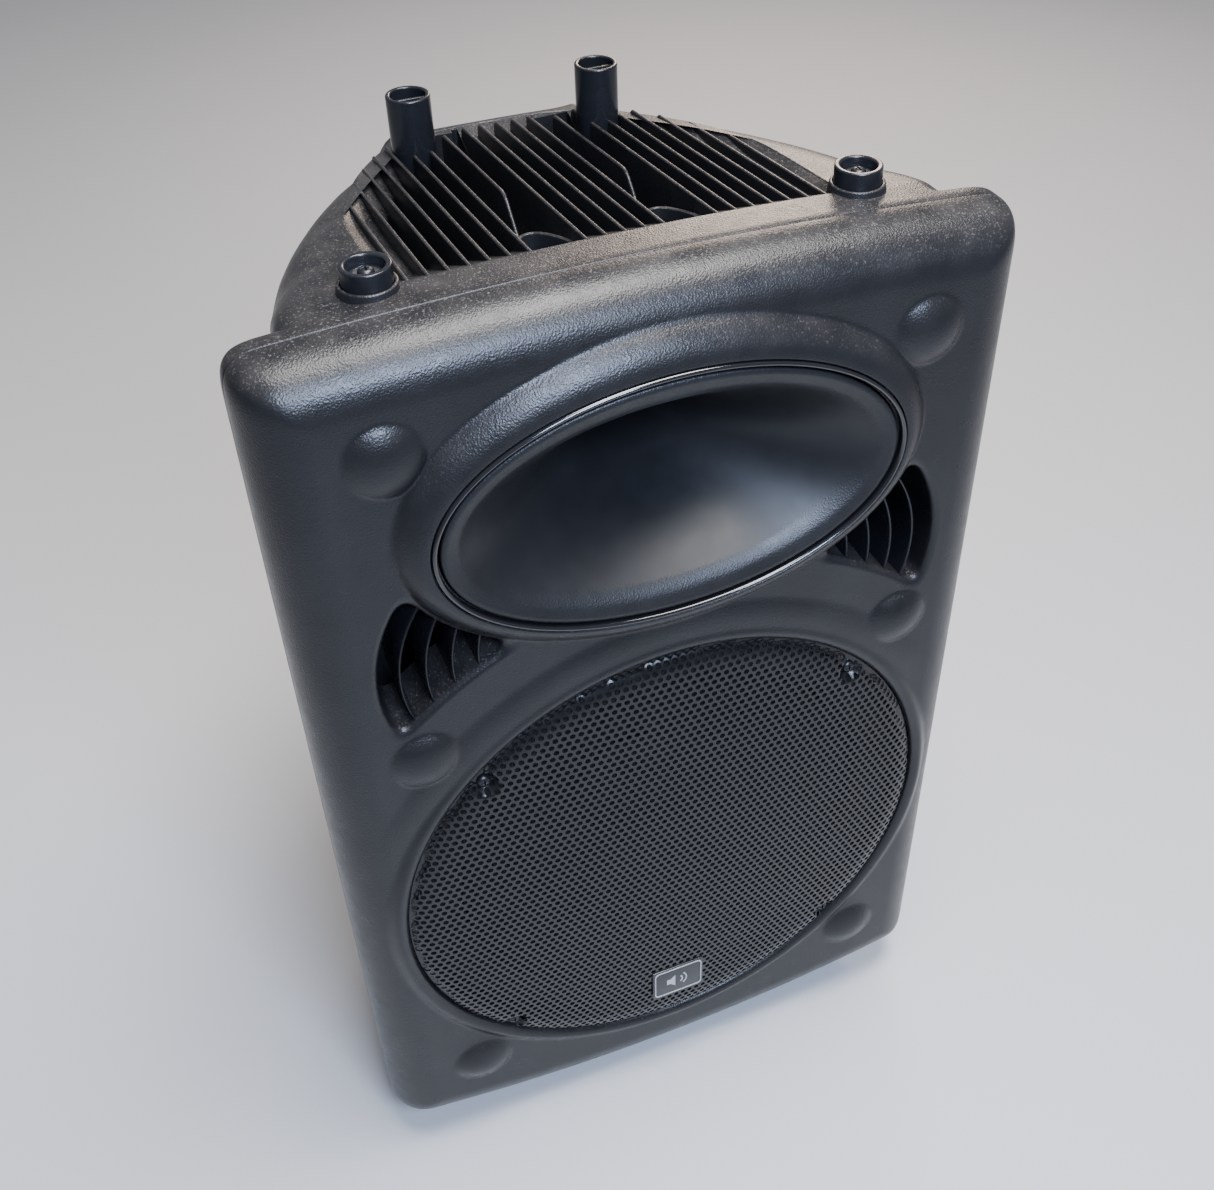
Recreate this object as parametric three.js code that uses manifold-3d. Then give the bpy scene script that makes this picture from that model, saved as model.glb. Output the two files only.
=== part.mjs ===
// A moulded 15-inch two-way active PA loudspeaker cabinet, in millimetres, +Z up.
// The front looks along -Y. The origin is on the floor, under the middle of the cabinet's box.
// Inside this file y is counted back from the flat front face; the whole cabinet is shifted at the end.
import * as THREE from 'three';
import { mergeVertices } from 'three/addons/utils/BufferGeometryUtils.js';
import Module from 'manifold-3d';

const wasm = await Module();
wasm.setup();

// ---- driving dimensions ----
const GAP = 0.3;                  // clearance between neighbouring pieces
const WIDTH = 450;
const HALF = WIDTH / 2;
const BOTTOM = 8;                 // lowest point of the front moulding
const TOP = 710;                  // highest point of the front moulding, at the parting line
const TOP_CROWN = 9;              // how far the top edge has fallen at the side
const BOTTOM_CROWN = 24;          // how far the bottom edge has risen at the side
const PART_Y = 34.4;              // parting line between the two mouldings
const ROLL = 34;                  // radius of the soft front edge
const CORNER = 16;                // corner radius of the outline
const WALL = 4;
const CABINET_SHIFT = -171;       // moves the front face so that the box is centred on y = 0

const HORN = { z: 580, mouthA: 141, mouthB: 79.5, ringA: 145, ringB: 83.6, proud: 12.4 };
const MOUND = { z: 583, a: 163, b: 103 };
const RIM_SIDES = 36;             // facets round the big round opening
const GRILLE = { z: 262, opening: 192, arch: 225, rim: 204, lip: 4, screwX: 129, screwZ: 131 };
const WOOFER_HOLE = 174;          // radius of the hole behind the woofer's ledge
const DOMES = [{ x: 158.5, z: 644 }, { x: 162, z: 425.5 }, { x: 156, z: 92 }];
const DOME = { radius: 22.9, height: 8 };
const VENT = { side: 182, bottomRadius: 256, moundGap: 3, blend: 14, depth: 42, wall: 3 };
const FIN = { radius: 94, z: 488, firstX: 169, pitch: 15.8, count: 4, thick: 2.2, front: 3 };

const BODY = { bottom: 10, slopeStart: 60, slope: 0.117, roll: 26, back: 335, flangeBack: 50 };
const RIB = { pitch: 11.2, thick: 3.2, depth: 34, front: 60, back: 290, shelf: 120, short: 38 };
const POST = { radius: 13.8, top: 720, frontX: 141.4, frontY: 63.2, rearX: 62, rearY: 263.5 };
const HANDLE = { y: 178, z: 400, wide: 96, tall: 84, inner: 92, undercut: 26, hookDeep: 28 };
const PANEL = { halfWidth: 74, bottom: 150, top: 470, thick: 3, openHalf: 64.5, openIn: 12 };
const POLE = { y: 165, bore: 17.8, outer: 21, flange: 46, depth: 84, bossWall: 3 };
const SEAT_Y = 22;                // front of the ledge that the woofer is screwed to
const SCREW_ROWS = [110, 330, 600];

// ---- turning three.js geometry into solids and back ----
function toSolid(geometry) {
  const bare = geometry.clone();
  bare.deleteAttribute('normal');
  bare.deleteAttribute('uv');
  const merged = mergeVertices(bare, 1e-3);
  const data = new wasm.Mesh({
    numProp: 3,
    vertProperties: new Float32Array(merged.attributes.position.array),
    triVerts: new Uint32Array(merged.index.array),
  });
  return new wasm.Manifold(data);
}

function toGeometry(solid) {
  const data = solid.getMesh();
  const geometry = new THREE.BufferGeometry();
  geometry.setAttribute('position', new THREE.BufferAttribute(new Float32Array(data.vertProperties), 3));
  geometry.setIndex(new THREE.BufferAttribute(new Uint32Array(data.triVerts), 1));
  geometry.computeVertexNormals();
  return geometry;
}

const shift = (geometry, x, y, z) => geometry.clone().translate(x, y, z);

// ---- extrusions along the three axes ----
function extrude(shape, length, steps = 1) {
  return new THREE.ExtrudeGeometry(shape, { depth: length, steps, bevelEnabled: false, curveSegments: 6 });
}

// A shape drawn in x and z, standing between y0 and y1.
function plate(shape, y0, y1) {
  const axes = new THREE.Matrix4().makeBasis(
    new THREE.Vector3(1, 0, 0), new THREE.Vector3(0, 0, 1), new THREE.Vector3(0, -1, 0));
  return extrude(shape, y1 - y0).applyMatrix4(axes).translate(0, y1, 0);
}

// A shape drawn in y and z, running between x0 and x1.
function beam(shape, x0, x1, steps = 1) {
  const axes = new THREE.Matrix4().makeBasis(
    new THREE.Vector3(0, 1, 0), new THREE.Vector3(0, 0, 1), new THREE.Vector3(1, 0, 0));
  return extrude(shape, x1 - x0, steps).applyMatrix4(axes).translate(x0, 0, 0);
}

// A shape drawn in x and y, standing between z0 and z1.
const slab = (shape, z0, z1) => extrude(shape, z1 - z0).translate(0, 0, z0);

function block(x0, x1, y0, y1, z0, z1) {
  const box = new THREE.BoxGeometry(x1 - x0, y1 - y0, z1 - z0);
  return box.translate((x0 + x1) / 2, (y0 + y1) / 2, (z0 + z1) / 2);
}

function polygon(points) {
  return new THREE.Shape(points.map(([x, y]) => new THREE.Vector2(x, y)));
}

function discShape(radius, hole = 0) {
  const shape = new THREE.Shape();
  shape.absarc(0, 0, radius, 0, 2 * Math.PI, false);
  if (hole > 0) {
    const inner = new THREE.Path();
    inner.absarc(0, 0, hole, 0, 2 * Math.PI, true);
    shape.holes.push(inner);
  }
  return shape;
}

// ---- turned pieces: a profile of [radius, y] turned about the y axis ----
function turned(profile, segments = 28, ratios = null) {
  let area = 0;
  profile.forEach(([r, y], i) => {
    const [r2, y2] = profile[(i + 1) % profile.length];
    area += r * y2 - r2 * y;
  });
  const rings = area < 0 ? [...profile].reverse() : [...profile];
  const stretch = ratios && (area < 0 ? [...ratios].reverse() : [...ratios]);
  const closed = rings[0][0] > 0;
  if (closed) {
    rings.push(rings[0]);
    if (stretch) stretch.push(stretch[0]);
  }
  const points = rings.map(([r, y]) => new THREE.Vector2(r, y));
  const geometry = new THREE.LatheGeometry(points, segments);
  if (stretch) {
    const position = geometry.attributes.position;
    for (let i = 0; i < position.count; i += 1) {
      position.setX(i, position.getX(i) * stretch[i % points.length]);
    }
  }
  return geometry;
}

// An oval piece: rings of { a, b, y }, a across and b up.
function oval(rings, segments = 32) {
  return turned(rings.map(({ b, y }) => [b, y]), segments, rings.map(({ a, b }) => (b > 0 ? a / b : 1)));
}

const tube = (inner, outer, y0, y1, segments = 28) =>
  turned([[inner, y0], [outer, y0], [outer, y1], [inner, y1]], segments);
const rod = (radius, y0, y1, segments = 16) =>
  turned([[0, y0], [radius, y0], [radius, y1], [0, y1]], segments);

// ---- outlines shared by the two mouldings ----
function cabinetOutline(inset) {
  const half = HALF - inset;
  const corner = CORNER - inset;
  const edge = half - corner;
  const topEdge = TOP - inset - TOP_CROWN * (edge / HALF) ** 2;
  const lowEdge = BOTTOM + inset + BOTTOM_CROWN * (edge / HALF) ** 2;
  const shape = new THREE.Shape();
  shape.moveTo(-edge, lowEdge);
  shape.quadraticCurveTo(0, 2 * (BOTTOM + inset) - lowEdge, edge, lowEdge);
  shape.quadraticCurveTo(half, lowEdge, half, lowEdge + corner);
  shape.lineTo(half, topEdge - corner);
  shape.quadraticCurveTo(half, topEdge, edge, topEdge);
  shape.quadraticCurveTo(0, 2 * (TOP - inset) - topEdge, -edge, topEdge);
  shape.quadraticCurveTo(-half, topEdge, -half, topEdge - corner);
  shape.lineTo(-half, lowEdge + corner);
  shape.quadraticCurveTo(-half, lowEdge, -edge, lowEdge);
  return shape;
}

// The edge roll as seen along the edge: low and high are the two ends, y runs back from the face.
function rolledProfile(low, high, inset, back, swap, steps) {
  const radius = ROLL - inset;
  const points = [];
  const put = (along, y) => points.push(swap ? [y, along] : [along, y]);
  for (let i = 0; i <= steps; i += 1) {
    const t = (i / steps) * (Math.PI / 2);
    put(low + radius * (1 - Math.cos(t)), inset + radius * (1 - Math.sin(t)));
  }
  for (let i = steps; i >= 0; i -= 1) {
    const t = (i / steps) * (Math.PI / 2);
    put(high - radius * (1 - Math.cos(t)), inset + radius * (1 - Math.sin(t)));
  }
  put(high, back);
  put(low, back);
  return polygon(points);
}

// Bends a straight top and bottom edge into their crowns.
function crowned(geometry) {
  const middle = (TOP + BOTTOM) / 2;
  const position = geometry.attributes.position;
  for (let i = 0; i < position.count; i += 1) {
    const across = (position.getX(i) / HALF) ** 2;
    const z = position.getZ(i);
    position.setZ(i, z > middle ? z - TOP_CROWN * across : z + BOTTOM_CROWN * across);
  }
  return geometry;
}

function frontBlock(inset, back, arcSteps) {
  const rolls = crowned(beam(rolledProfile(BOTTOM + inset, TOP - inset, inset, back, true, arcSteps),
    -HALF - 1, HALF + 1, 2 * arcSteps));
  const sides = slab(rolledProfile(-HALF + inset, HALF - inset, inset, back, false, arcSteps), 0, TOP + 1);
  return toSolid(plate(cabinetOutline(inset), inset - 1, back))
    .intersect(toSolid(rolls))
    .intersect(toSolid(sides));
}

// ---- the two reflex vents beside the horn ----
function smoothMax(a, b, blend) {
  const mix = Math.max(blend - Math.abs(a - b), 0) / blend;
  return Math.max(a, b) + mix * mix * blend / 4;
}

// Below zero inside the vent: outside the horn mound, outside the grille arch, inside the cabinet side.
function ventDistance(x, z, grow) {
  const dz = z - MOUND.z;
  const ring = Math.hypot(x / MOUND.a, dz / MOUND.b);
  const slope = Math.hypot(x / MOUND.a ** 2, dz / MOUND.b ** 2) / ring;
  const fromMound = VENT.moundGap - (ring - 1) / slope;
  const fromArch = VENT.bottomRadius - Math.hypot(x, z - GRILLE.z);
  const fromSide = Math.abs(x) - VENT.side;
  return smoothMax(smoothMax(fromMound, fromArch, VENT.blend), fromSide, VENT.blend) - grow;
}

function ventShape(side, grow) {
  const centre = { x: side * 160, z: 487 };
  const count = 24;
  const points = [];
  for (let i = 0; i < count; i += 1) {
    const angle = (i / count) * 2 * Math.PI;
    let near = 0;
    let far = 90;
    for (let step = 0; step < 24; step += 1) {
      const r = (near + far) / 2;
      const inside = ventDistance(centre.x + r * Math.cos(angle), centre.z + r * Math.sin(angle), grow) < 0;
      if (inside) near = r;
      else far = r;
    }
    points.push([centre.x + near * Math.cos(angle), centre.z + near * Math.sin(angle)]);
  }
  return polygon(points);
}

function ventFins(side) {
  const ring = discShape(FIN.radius + FIN.thick / 2, FIN.radius - FIN.thick / 2);
  let fins = null;
  for (let i = 0; i < FIN.count; i += 1) {
    const x = side * (FIN.firstX - FIN.pitch * i - FIN.radius);
    const fin = toSolid(shift(plate(ring, FIN.front, VENT.depth - 2), x, 0, FIN.z));
    fins = fins ? fins.add(fin) : fin;
  }
  return fins;
}

// ---- front moulding ----
function ovalHole(a, b, y0, y1) {
  const rings = [{ a: 0, b: 0, y: y0 }, { a, b, y: y0 }, { a, b, y: y1 }, { a: 0, b: 0, y: y1 }];
  return toSolid(shift(oval(rings, RIM_SIDES), 0, 0, HORN.z));
}

function hornMound() {
  const { a, b, z } = MOUND;
  const drop = HORN.z - z;
  const rings = [
    { a: a - 9, b: b - 9, y: 14 }, { a, b, y: 1.5 }, { a: a - 3, b: b - 3, y: -4 },
    { a: HORN.ringA + 7, b: HORN.ringB + 8, y: -10 },
    { a: HORN.ringA + 1, b: HORN.ringB + 1, y: -HORN.proud },
    { a: HORN.mouthA - 3, b: HORN.mouthB - 3, y: -HORN.proud },
    { a: HORN.mouthA - 3, b: HORN.mouthB - 3, y: 14 },
  ];
  return shift(oval(rings, RIM_SIDES), 0, 0, z + drop / 2);
}

function grilleArch() {
  const { opening, arch, rim, lip, z } = GRILLE;
  const ring = toSolid(shift(tube(opening, rim, -lip, SEAT_Y + 6, RIM_SIDES), 0, 0, z));
  const skirt = turned([[opening, 10], [opening, -lip], [rim, -lip], [arch, 0.5], [arch - 4, 10]], RIM_SIDES);
  const upper = block(-182, 182, -20, 20, 400, 500);
  return ring.add(toSolid(shift(skirt, 0, 0, z)).intersect(toSolid(upper)));
}

function faceDome(x, z) {
  const ball = new THREE.SphereGeometry(DOME.radius, 12, 4);
  return ball.rotateX(Math.PI / 2).scale(1, DOME.height / DOME.radius, 1).translate(x, 0, z);
}

const screwColumns = () => SCREW_ROWS.flatMap((z) => [[-208, z], [208, z]]);
const grilleScrewPlaces = () => [[-1, 1], [1, 1], [-1, -1], [1, -1]].map(([sx, sz]) => (
  [sx * GRILLE.screwX, GRILLE.z + sz * GRILLE.screwZ]));

function frontShell() {
  let shell = frontBlock(0, PART_Y - GAP, 4).subtract(frontBlock(WALL, PART_Y + 1, 2));
  shell = shell.add(toSolid(hornMound())).add(grilleArch());
  const ledge = shift(tube(WOOFER_HOLE, GRILLE.rim, SEAT_Y, SEAT_Y + 6, RIM_SIDES), 0, 0, GRILLE.z);
  shell = shell.add(toSolid(ledge));
  DOMES.forEach(({ x, z }) => {
    shell = shell.add(toSolid(faceDome(-x, z))).add(toSolid(faceDome(x, z)));
  });
  [-1, 1].forEach((side) => {
    const duct = toSolid(plate(ventShape(side, VENT.wall), 2, VENT.depth));
    const hole = toSolid(plate(ventShape(side, 0), -20, VENT.depth + 5));
    shell = shell.add(duct).subtract(hole).add(ventFins(side).intersect(duct));
  });
  screwColumns().forEach(([x, z]) => {
    shell = shell.add(toSolid(shift(rod(6, 7, PART_Y - GAP, 8), x, 0, z)));
    shell = shell.subtract(toSolid(shift(rod(2.3, 14, PART_Y + 2, 8), x, 0, z)));
  });
  const rebate = -HORN.proud + 3;
  shell = shell.subtract(ovalHole(HORN.mouthA, HORN.mouthB, -30, 40));
  shell = shell.subtract(ovalHole(HORN.ringA + 0.6, HORN.ringB + 0.6, -30, rebate));
  shell = shell.subtract(toSolid(shift(rod(GRILLE.opening, -30, SEAT_Y, RIM_SIDES), 0, 0, GRILLE.z)));
  shell = shell.subtract(toSolid(shift(rod(WOOFER_HOLE, -30, 60, RIM_SIDES), 0, 0, GRILLE.z)));
  grilleScrewPlaces().forEach(([x, z]) => {
    const lug = toSolid(shift(rod(11, 5, 13, 8), x, 0, z));
    shell = shell.add(lug).subtract(toSolid(shift(rod(2.4, 0, 14, 8), x, 0, z)));
  });
  return shell;
}

// ---- rear moulding ----
// Half the plan of the rear moulding behind the flange, from front to back.
const SIDE_PLAN = [[194, 46], [193, 72], [189, 105], [181, 136], [170, 165], [157, 192], [143, 217],
  [120, 256], [96, 297]];
const BACK_HALF = 78;             // half width of the flat back
const SIDE_LEAN = 1.1;            // how far the slanted side moves across for each millimetre of inset
const CORNER_LEAN = 0.6;          // the same for the corner where the side meets the back

function planShape(inset) {
  const lead = inset > 0 ? 30 : 0;
  const right = SIDE_PLAN.map(([x, y]) => [x - inset * SIDE_LEAN, y]);
  right[0][1] -= lead;
  right.push([BACK_HALF - inset * CORNER_LEAN, BODY.back - inset]);
  const left = right.map(([x, y]) => [-x, y]).reverse();
  return polygon([...right, ...left]);
}

// The top of the rear moulding falls away towards the back.
function slopedTop(geometry) {
  const position = geometry.attributes.position;
  for (let i = 0; i < position.count; i += 1) {
    const behind = Math.max(position.getY(i) - BODY.slopeStart, 0);
    if (position.getZ(i) > TOP - 80) {
      position.setZ(i, position.getZ(i) - BODY.slope * behind);
    }
  }
  return geometry;
}

function bodyBlock(inset, arcSteps) {
  const roll = BODY.roll - inset;
  const geometry = new THREE.ExtrudeGeometry(planShape(inset + roll), {
    depth: TOP - 1 - BODY.bottom - 2 * inset - 2 * roll,
    bevelEnabled: true,
    bevelThickness: roll,
    bevelSize: roll,
    bevelSegments: arcSteps,
  });
  geometry.translate(0, 0, BODY.bottom + inset + roll);
  return toSolid(slopedTop(geometry));
}

const ribTop = (y) => TOP - 1 - BODY.slope * Math.max(y - BODY.slopeStart, 0);

// How far back the ribs at a distance x from the middle reach.
function ribEnd(x) {
  const far = Math.abs(x);
  return far < 50 ? RIB.back : RIB.back - 0.0195 * (far - 50) ** 2;
}

function ribPlaces() {
  const outer = Array.from({ length: 7 }, (_, i) => 54 + RIB.pitch * i);
  const middle = [-2, -1, 0, 1, 2].map((i) => i * RIB.pitch);
  return [...outer.map((x) => -x), ...middle, ...outer];
}

// The hollow that the ribs stand in: its floor drops away behind the front strip.
function ribPocket(grow) {
  const edge = 132 + grow;
  const half = [[edge, RIB.front + 2 - grow], [edge, 175], [118 + grow, 215 + grow], [92 + grow, 262 + grow],
    [60, RIB.back + 2 + grow]];
  const plan = polygon([...half, ...half.map(([x, y]) => [-x, y]).reverse()]);
  const end = RIB.back + 6;
  const side = polygon([[RIB.front - grow, TOP + 2], [RIB.front + 4 - grow, TOP - 3 - grow],
    [RIB.shelf, ribTop(RIB.shelf) - RIB.depth - grow], [end + grow, ribTop(end) - RIB.depth + 12 - grow],
    [end + 4 + grow, TOP + 2]]);
  return toSolid(slab(plan, TOP - 90, TOP + 5)).intersect(toSolid(beam(side, -edge - 1, edge + 1)));
}

function rib(x, start, end) {
  const side = polygon([[start - 8, ribTop(start) - 6], [start, ribTop(start)], [end - 6, ribTop(end - 6)],
    [end, ribTop(end) - 8], [end, ribTop(end) - RIB.depth - 2],
    [RIB.shelf, ribTop(RIB.shelf) - RIB.depth - 2]]);
  return toSolid(beam(side, x - RIB.thick / 2, x + RIB.thick / 2));
}

// A shorter rib whose top turns down in front, behind a rigging hollow.
function shortRib(x) {
  const side = polygon([[150, ribTop(150) - 26], [176, ribTop(176)], [278, ribTop(278)],
    [284, ribTop(284) - 8], [284, ribTop(284) - RIB.depth - 2], [150, ribTop(150) - RIB.depth - 2]]);
  return toSolid(beam(side, x - RIB.thick / 2, x + RIB.thick / 2));
}

// A column of a given radius between two heights.
function column(radius, x, y, z0, z1) {
  return slab(discShape(radius), z0, z1).translate(x, y, 0);
}

function handlePocket(side, grow) {
  const { y, z, wide, tall, inner, undercut, hookDeep } = HANDLE;
  const reach = [inner - grow, 240];
  const [x0, x1] = side > 0 ? reach : [-reach[1], -reach[0]];
  const halfWide = wide / 2 + grow;
  const halfTall = tall / 2 + grow;
  const mouth = block(x0, x1, y - halfWide, y + halfWide, z - halfTall, z + halfTall);
  const hook = [inner - grow, inner + hookDeep + grow];
  const [h0, h1] = side > 0 ? hook : [-hook[1], -hook[0]];
  const above = block(h0, h1, y - halfWide, y + halfWide, z, z + halfTall + undercut);
  return toSolid(mouth).add(toSolid(above));
}

function rearFlange(inset, y0, y1) {
  return toSolid(plate(cabinetOutline(inset), y0, y1));
}

function rearShell() {
  const outer = rearFlange(0, PART_Y, BODY.flangeBack - 6)
    .add(rearFlange(8, BODY.flangeBack - 8, BODY.flangeBack))
    .add(bodyBlock(0, 4));
  const inner = bodyBlock(WALL, 2).add(rearFlange(WALL, PART_Y - 5, BODY.flangeBack - 8));
  let shell = outer.subtract(inner.subtract(ribPocket(WALL))).subtract(ribPocket(0));
  ribPlaces().forEach((x) => {
    shell = shell.add(rib(x, RIB.front + 4, ribEnd(x)).intersect(outer));
  });
  shell = shell.add(shortRib(-RIB.short)).add(shortRib(RIB.short));
  const postPlaces = [[POST.frontX, POST.frontY, 16.5], [POST.rearX, POST.rearY, 17]];
  postPlaces.forEach(([px, py, radius]) => {
    [-px, px].forEach((x) => {
      const low = TOP - 62;
      const high = py > 200 ? ribTop(py) - 4 : TOP - 6;
      shell = shell.add(toSolid(column(radius, x, py, low, high)).intersect(outer));
      shell = shell.subtract(toSolid(column(POST.radius + 0.9, x, py, high - 12, TOP + 5)));
    });
  });
  [-1, 1].forEach((side) => {
    const cup = handlePocket(side, WALL).intersect(outer);
    shell = shell.add(cup).subtract(handlePocket(side, 0));
  });
  const { openHalf, bottom, top, openIn } = PANEL;
  shell = shell.subtract(toSolid(block(-openHalf, openHalf, 300, 400, bottom + openIn, top - openIn)));
  const bossTop = BODY.bottom + POLE.depth;
  const boss = column(POLE.outer + 1 + POLE.bossWall, 0, POLE.y, BODY.bottom + 1, bossTop + POLE.bossWall);
  shell = shell.add(toSolid(boss));
  shell = shell.subtract(toSolid(column(POLE.outer + 1, 0, POLE.y, 0, bossTop)));
  screwColumns().forEach(([x, z]) => {
    shell = shell.subtract(toSolid(shift(rod(2.4, 20, 60, 8), x, 0, z)));
  });
  PANEL_SCREWS.forEach(([x, z]) => {
    shell = shell.subtract(toSolid(shift(rod(2.4, BODY.back - 12, BODY.back + 2, 8), x, 0, z)));
  });
  return shell.subtract(toSolid(block(-300, 300, -50, PART_Y, -50, 900)));
}

// ---- horn and compression driver ----
const HORN_DEPTH = 118;
const THROAT = 13;

function flareRings() {
  const rings = [
    { a: 139.5, b: 78, y: -HORN.proud + 2 },
    { a: 134, b: 72, y: -HORN.proud },
    { a: 128, b: 66, y: -8 },
  ];
  const steps = 5;
  for (let i = 1; i <= steps; i += 1) {
    const t = i / steps;
    const spread = (1 - t) ** 1.7;
    rings.push({
      a: THROAT + (128 - THROAT) * spread,
      b: THROAT + (66 - THROAT) * spread,
      y: -8 + t * (HORN_DEPTH + 8),
    });
  }
  return rings;
}

function hornFlare() {
  const inside = flareRings();
  const outside = inside.map(({ a, b, y }) => ({ a: a + 3, b: b + 3, y })).reverse();
  const flange = [{ a: 34, b: 34, y: HORN_DEPTH }, { a: 34, b: 34, y: HORN_DEPTH - 6 }];
  const back = outside.slice(1, -3);
  const mouth = [{ a: 139.5, b: 78, y: 8 }];
  return shift(oval([...inside, ...flange, ...back, ...mouth], 28), 0, 0, HORN.z);
}

function hornTrimRing() {
  const middleA = (HORN.ringA + HORN.mouthA) / 2;
  const middleB = (HORN.ringB + HORN.mouthB) / 2;
  const rings = [[-1.7, -9.7], [-1.5, -13], [0, -15], [1.5, -13], [1.7, -9.7]];
  const offset = ([d, y]) => ({ a: middleA + d, b: middleB + d, y });
  return shift(oval(rings.map(offset), RIM_SIDES), 0, 0, HORN.z);
}

const driverProfile = {
  hf_front_plate: [[THROAT, 0.3], [34, 0.3], [34, 6], [50, 6], [50, 10], [THROAT, 10]],
  hf_magnet: [[18, 10.3], [55, 10.3], [55, 30], [18, 30]],
  hf_rear_cover: [[0, 42], [42, 42], [44, 40], [44, 30.3], [50, 30.3], [50, 38], [46, 46], [0, 46]],
};

// ---- woofer ----
const basketProfile = [[190, 16], [190, SEAT_Y - GAP], [173, SEAT_Y - GAP], [170.5, 30], [97, 104], [96, 112],
  [58, 112], [58, 108], [90, 108], [94, 101], [166, 29], [168, 19], [172, 16]];

function basket() {
  let frame = toSolid(turned(basketProfile, 28));
  const windows = 6;
  for (let i = 0; i < windows; i += 1) {
    const cut = block(60, 200, 36, 98, -38, 38);
    frame = frame.subtract(toSolid(cut.rotateY((i + 0.5) * 2 * Math.PI / windows)));
  }
  return frame;
}

const wooferProfile = {
  woofer_top_plate: [[28, 112.3], [80, 112.3], [80, 120], [28, 120]],
  woofer_magnet: [[42, 120.3], [95, 120.3], [95, 145], [42, 145]],
  woofer_back_plate: [[0, 114], [23, 114], [23, 145.3], [85, 145.3], [85, 153], [0, 153]],
  woofer_voice_coil: [[24.6, 86], [26.2, 86], [26.2, 128], [24.6, 128]],
  woofer_cone: [[27, 84], [148, 20], [150, 18], [150, 20.4], [27, 86.5]],
  woofer_surround: [[150.6, 19], [153, 12], [161, 8.2], [171, 14.3], [183, 14.3], [183, 15.7], [170, 15.7],
    [161, 9.8], [154.2, 13], [152, 19.6]],
  woofer_spider: [[27, 96], [40, 94.5], [55, 97.5], [70, 94.5], [85, 97], [93, 97], [85, 98.4],
    [70, 96], [55, 99], [40, 96], [27, 97.4]],
};

function dustCap() {
  const rim = 47;
  const points = [];
  const steps = 4;
  for (let i = 0; i <= steps; i += 1) {
    const t = i / steps;
    points.push([rim * t, 57 + 14.2 * t * t]);
  }
  const under = points.map(([r, y]) => [r, y + 1.2]).reverse();
  return turned([...points, ...under], 18);
}

// ---- grille and badge ----
const GRILLE_SHEET = [[0, -13], [90, -11.4], [166, -6.5], [177, 0], [190.8, 0]];
const GRILLE_THICK = 1.2;

function grille() {
  const under = GRILLE_SHEET.map(([r, y]) => [r, y + GRILLE_THICK]).reverse();
  let sheet = toSolid(shift(turned([...GRILLE_SHEET, ...under], 32), 0, 0, GRILLE.z));
  grilleScrewPlaces().forEach(([x, z]) => {
    sheet = sheet.subtract(toSolid(shift(rod(2.4, -10, 10, 8), x, 0, z)));
  });
  return sheet;
}

const BADGE = { wide: 42, tall: 33, z: 119, y: -9.5, thick: 2, corner: 4 };

function badgePlate() {
  const { wide, tall, thick, corner: r } = BADGE;
  const shape = new THREE.Shape();
  shape.absarc(wide / 2 - r, tall / 2 - r, r, 0, Math.PI / 2, false);
  shape.absarc(-wide / 2 + r, tall / 2 - r, r, Math.PI / 2, Math.PI, false);
  shape.absarc(-wide / 2 + r, -tall / 2 + r, r, Math.PI, 1.5 * Math.PI, false);
  shape.absarc(wide / 2 - r, -tall / 2 + r, r, 1.5 * Math.PI, 2 * Math.PI, false);
  return plate(shape, -thick, 0);
}

// ---- posts, feet, pole socket and fasteners, all about a vertical axis ----
const vertical = (profile, segments) => (
  turned(profile.map(([r, h]) => [r, -h]), segments).rotateX(-Math.PI / 2));

function frontPost() {
  const { radius } = POST;
  const body = [[0, -14], [radius, -14], [radius, 8], [radius - 1.4, 10], [radius - 3, 9],
    [radius - 3.6, 3], [0, 3]];
  const hole = [[0, -20], [2.6, -20], [2.6, 5], [0, 5]];
  return toSolid(vertical(body, 20)).subtract(toSolid(vertical(hole, 12)));
}

function rearPost(height) {
  const { radius } = POST;
  const cup = toSolid(vertical([[0, -12], [radius, -12], [radius, height - 2], [radius - 1.4, height],
    [radius - 2.8, height - 1], [radius - 3.2, 2], [0, 2]], 20));
  const web = block(-radius + 2, radius - 2, -1, 1, 0, height - 3);
  return cup.add(toSolid(web));
}

const screwProfile = (head, shank, length) => [[0, -length], [shank, -length], [shank, 0], [head, 0],
  [head * 0.8, 2.8], [0, 3]];
const washerProfile = [[2.9, 0], [7.5, 0], [7.5, 1.2], [2.9, 1.2]];
const footProfile = [[0, 0], [13, 0], [15, 1.5], [16, 9.4], [0, 9.4]];
const poleProfile = [[POLE.bore, 0], [POLE.flange, 0], [POLE.flange, 3], [POLE.outer, 3],
  [POLE.outer, POLE.depth], [0, POLE.depth], [0, POLE.depth - 3], [POLE.bore, POLE.depth - 3]];

// ---- rear amplifier panel ----
const PANEL_Y = BODY.back + GAP;
const PANEL_BACK = PANEL_Y + PANEL.thick;
const HEATSINK = { halfWidth: 60, bottom: 176, top: 292, base: 4, fin: 14.4, fins: 11 };
const KNOBS = [[-48, 424], [-16, 424], [16, 424], [48, 424]];
const KNOB_NAMES = ['knob_mic_level', 'knob_line_level', 'knob_bass', 'knob_treble'];
const SOCKETS = [[-46, 352], [-12, 352], [24, 352]];
const SOCKET_NAMES = ['socket_mic_in', 'socket_line_in', 'socket_link_out'];
const INLET = { x: -28, z: 314.5, wide: 48, tall: 27 };
const SWITCH = { x: 40, z: 314.5, wide: 21, tall: 27 };
const PANEL_SCREWS = [[-69.4, 156], [69.4, 156], [-69.4, 464], [69.4, 464]];

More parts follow.
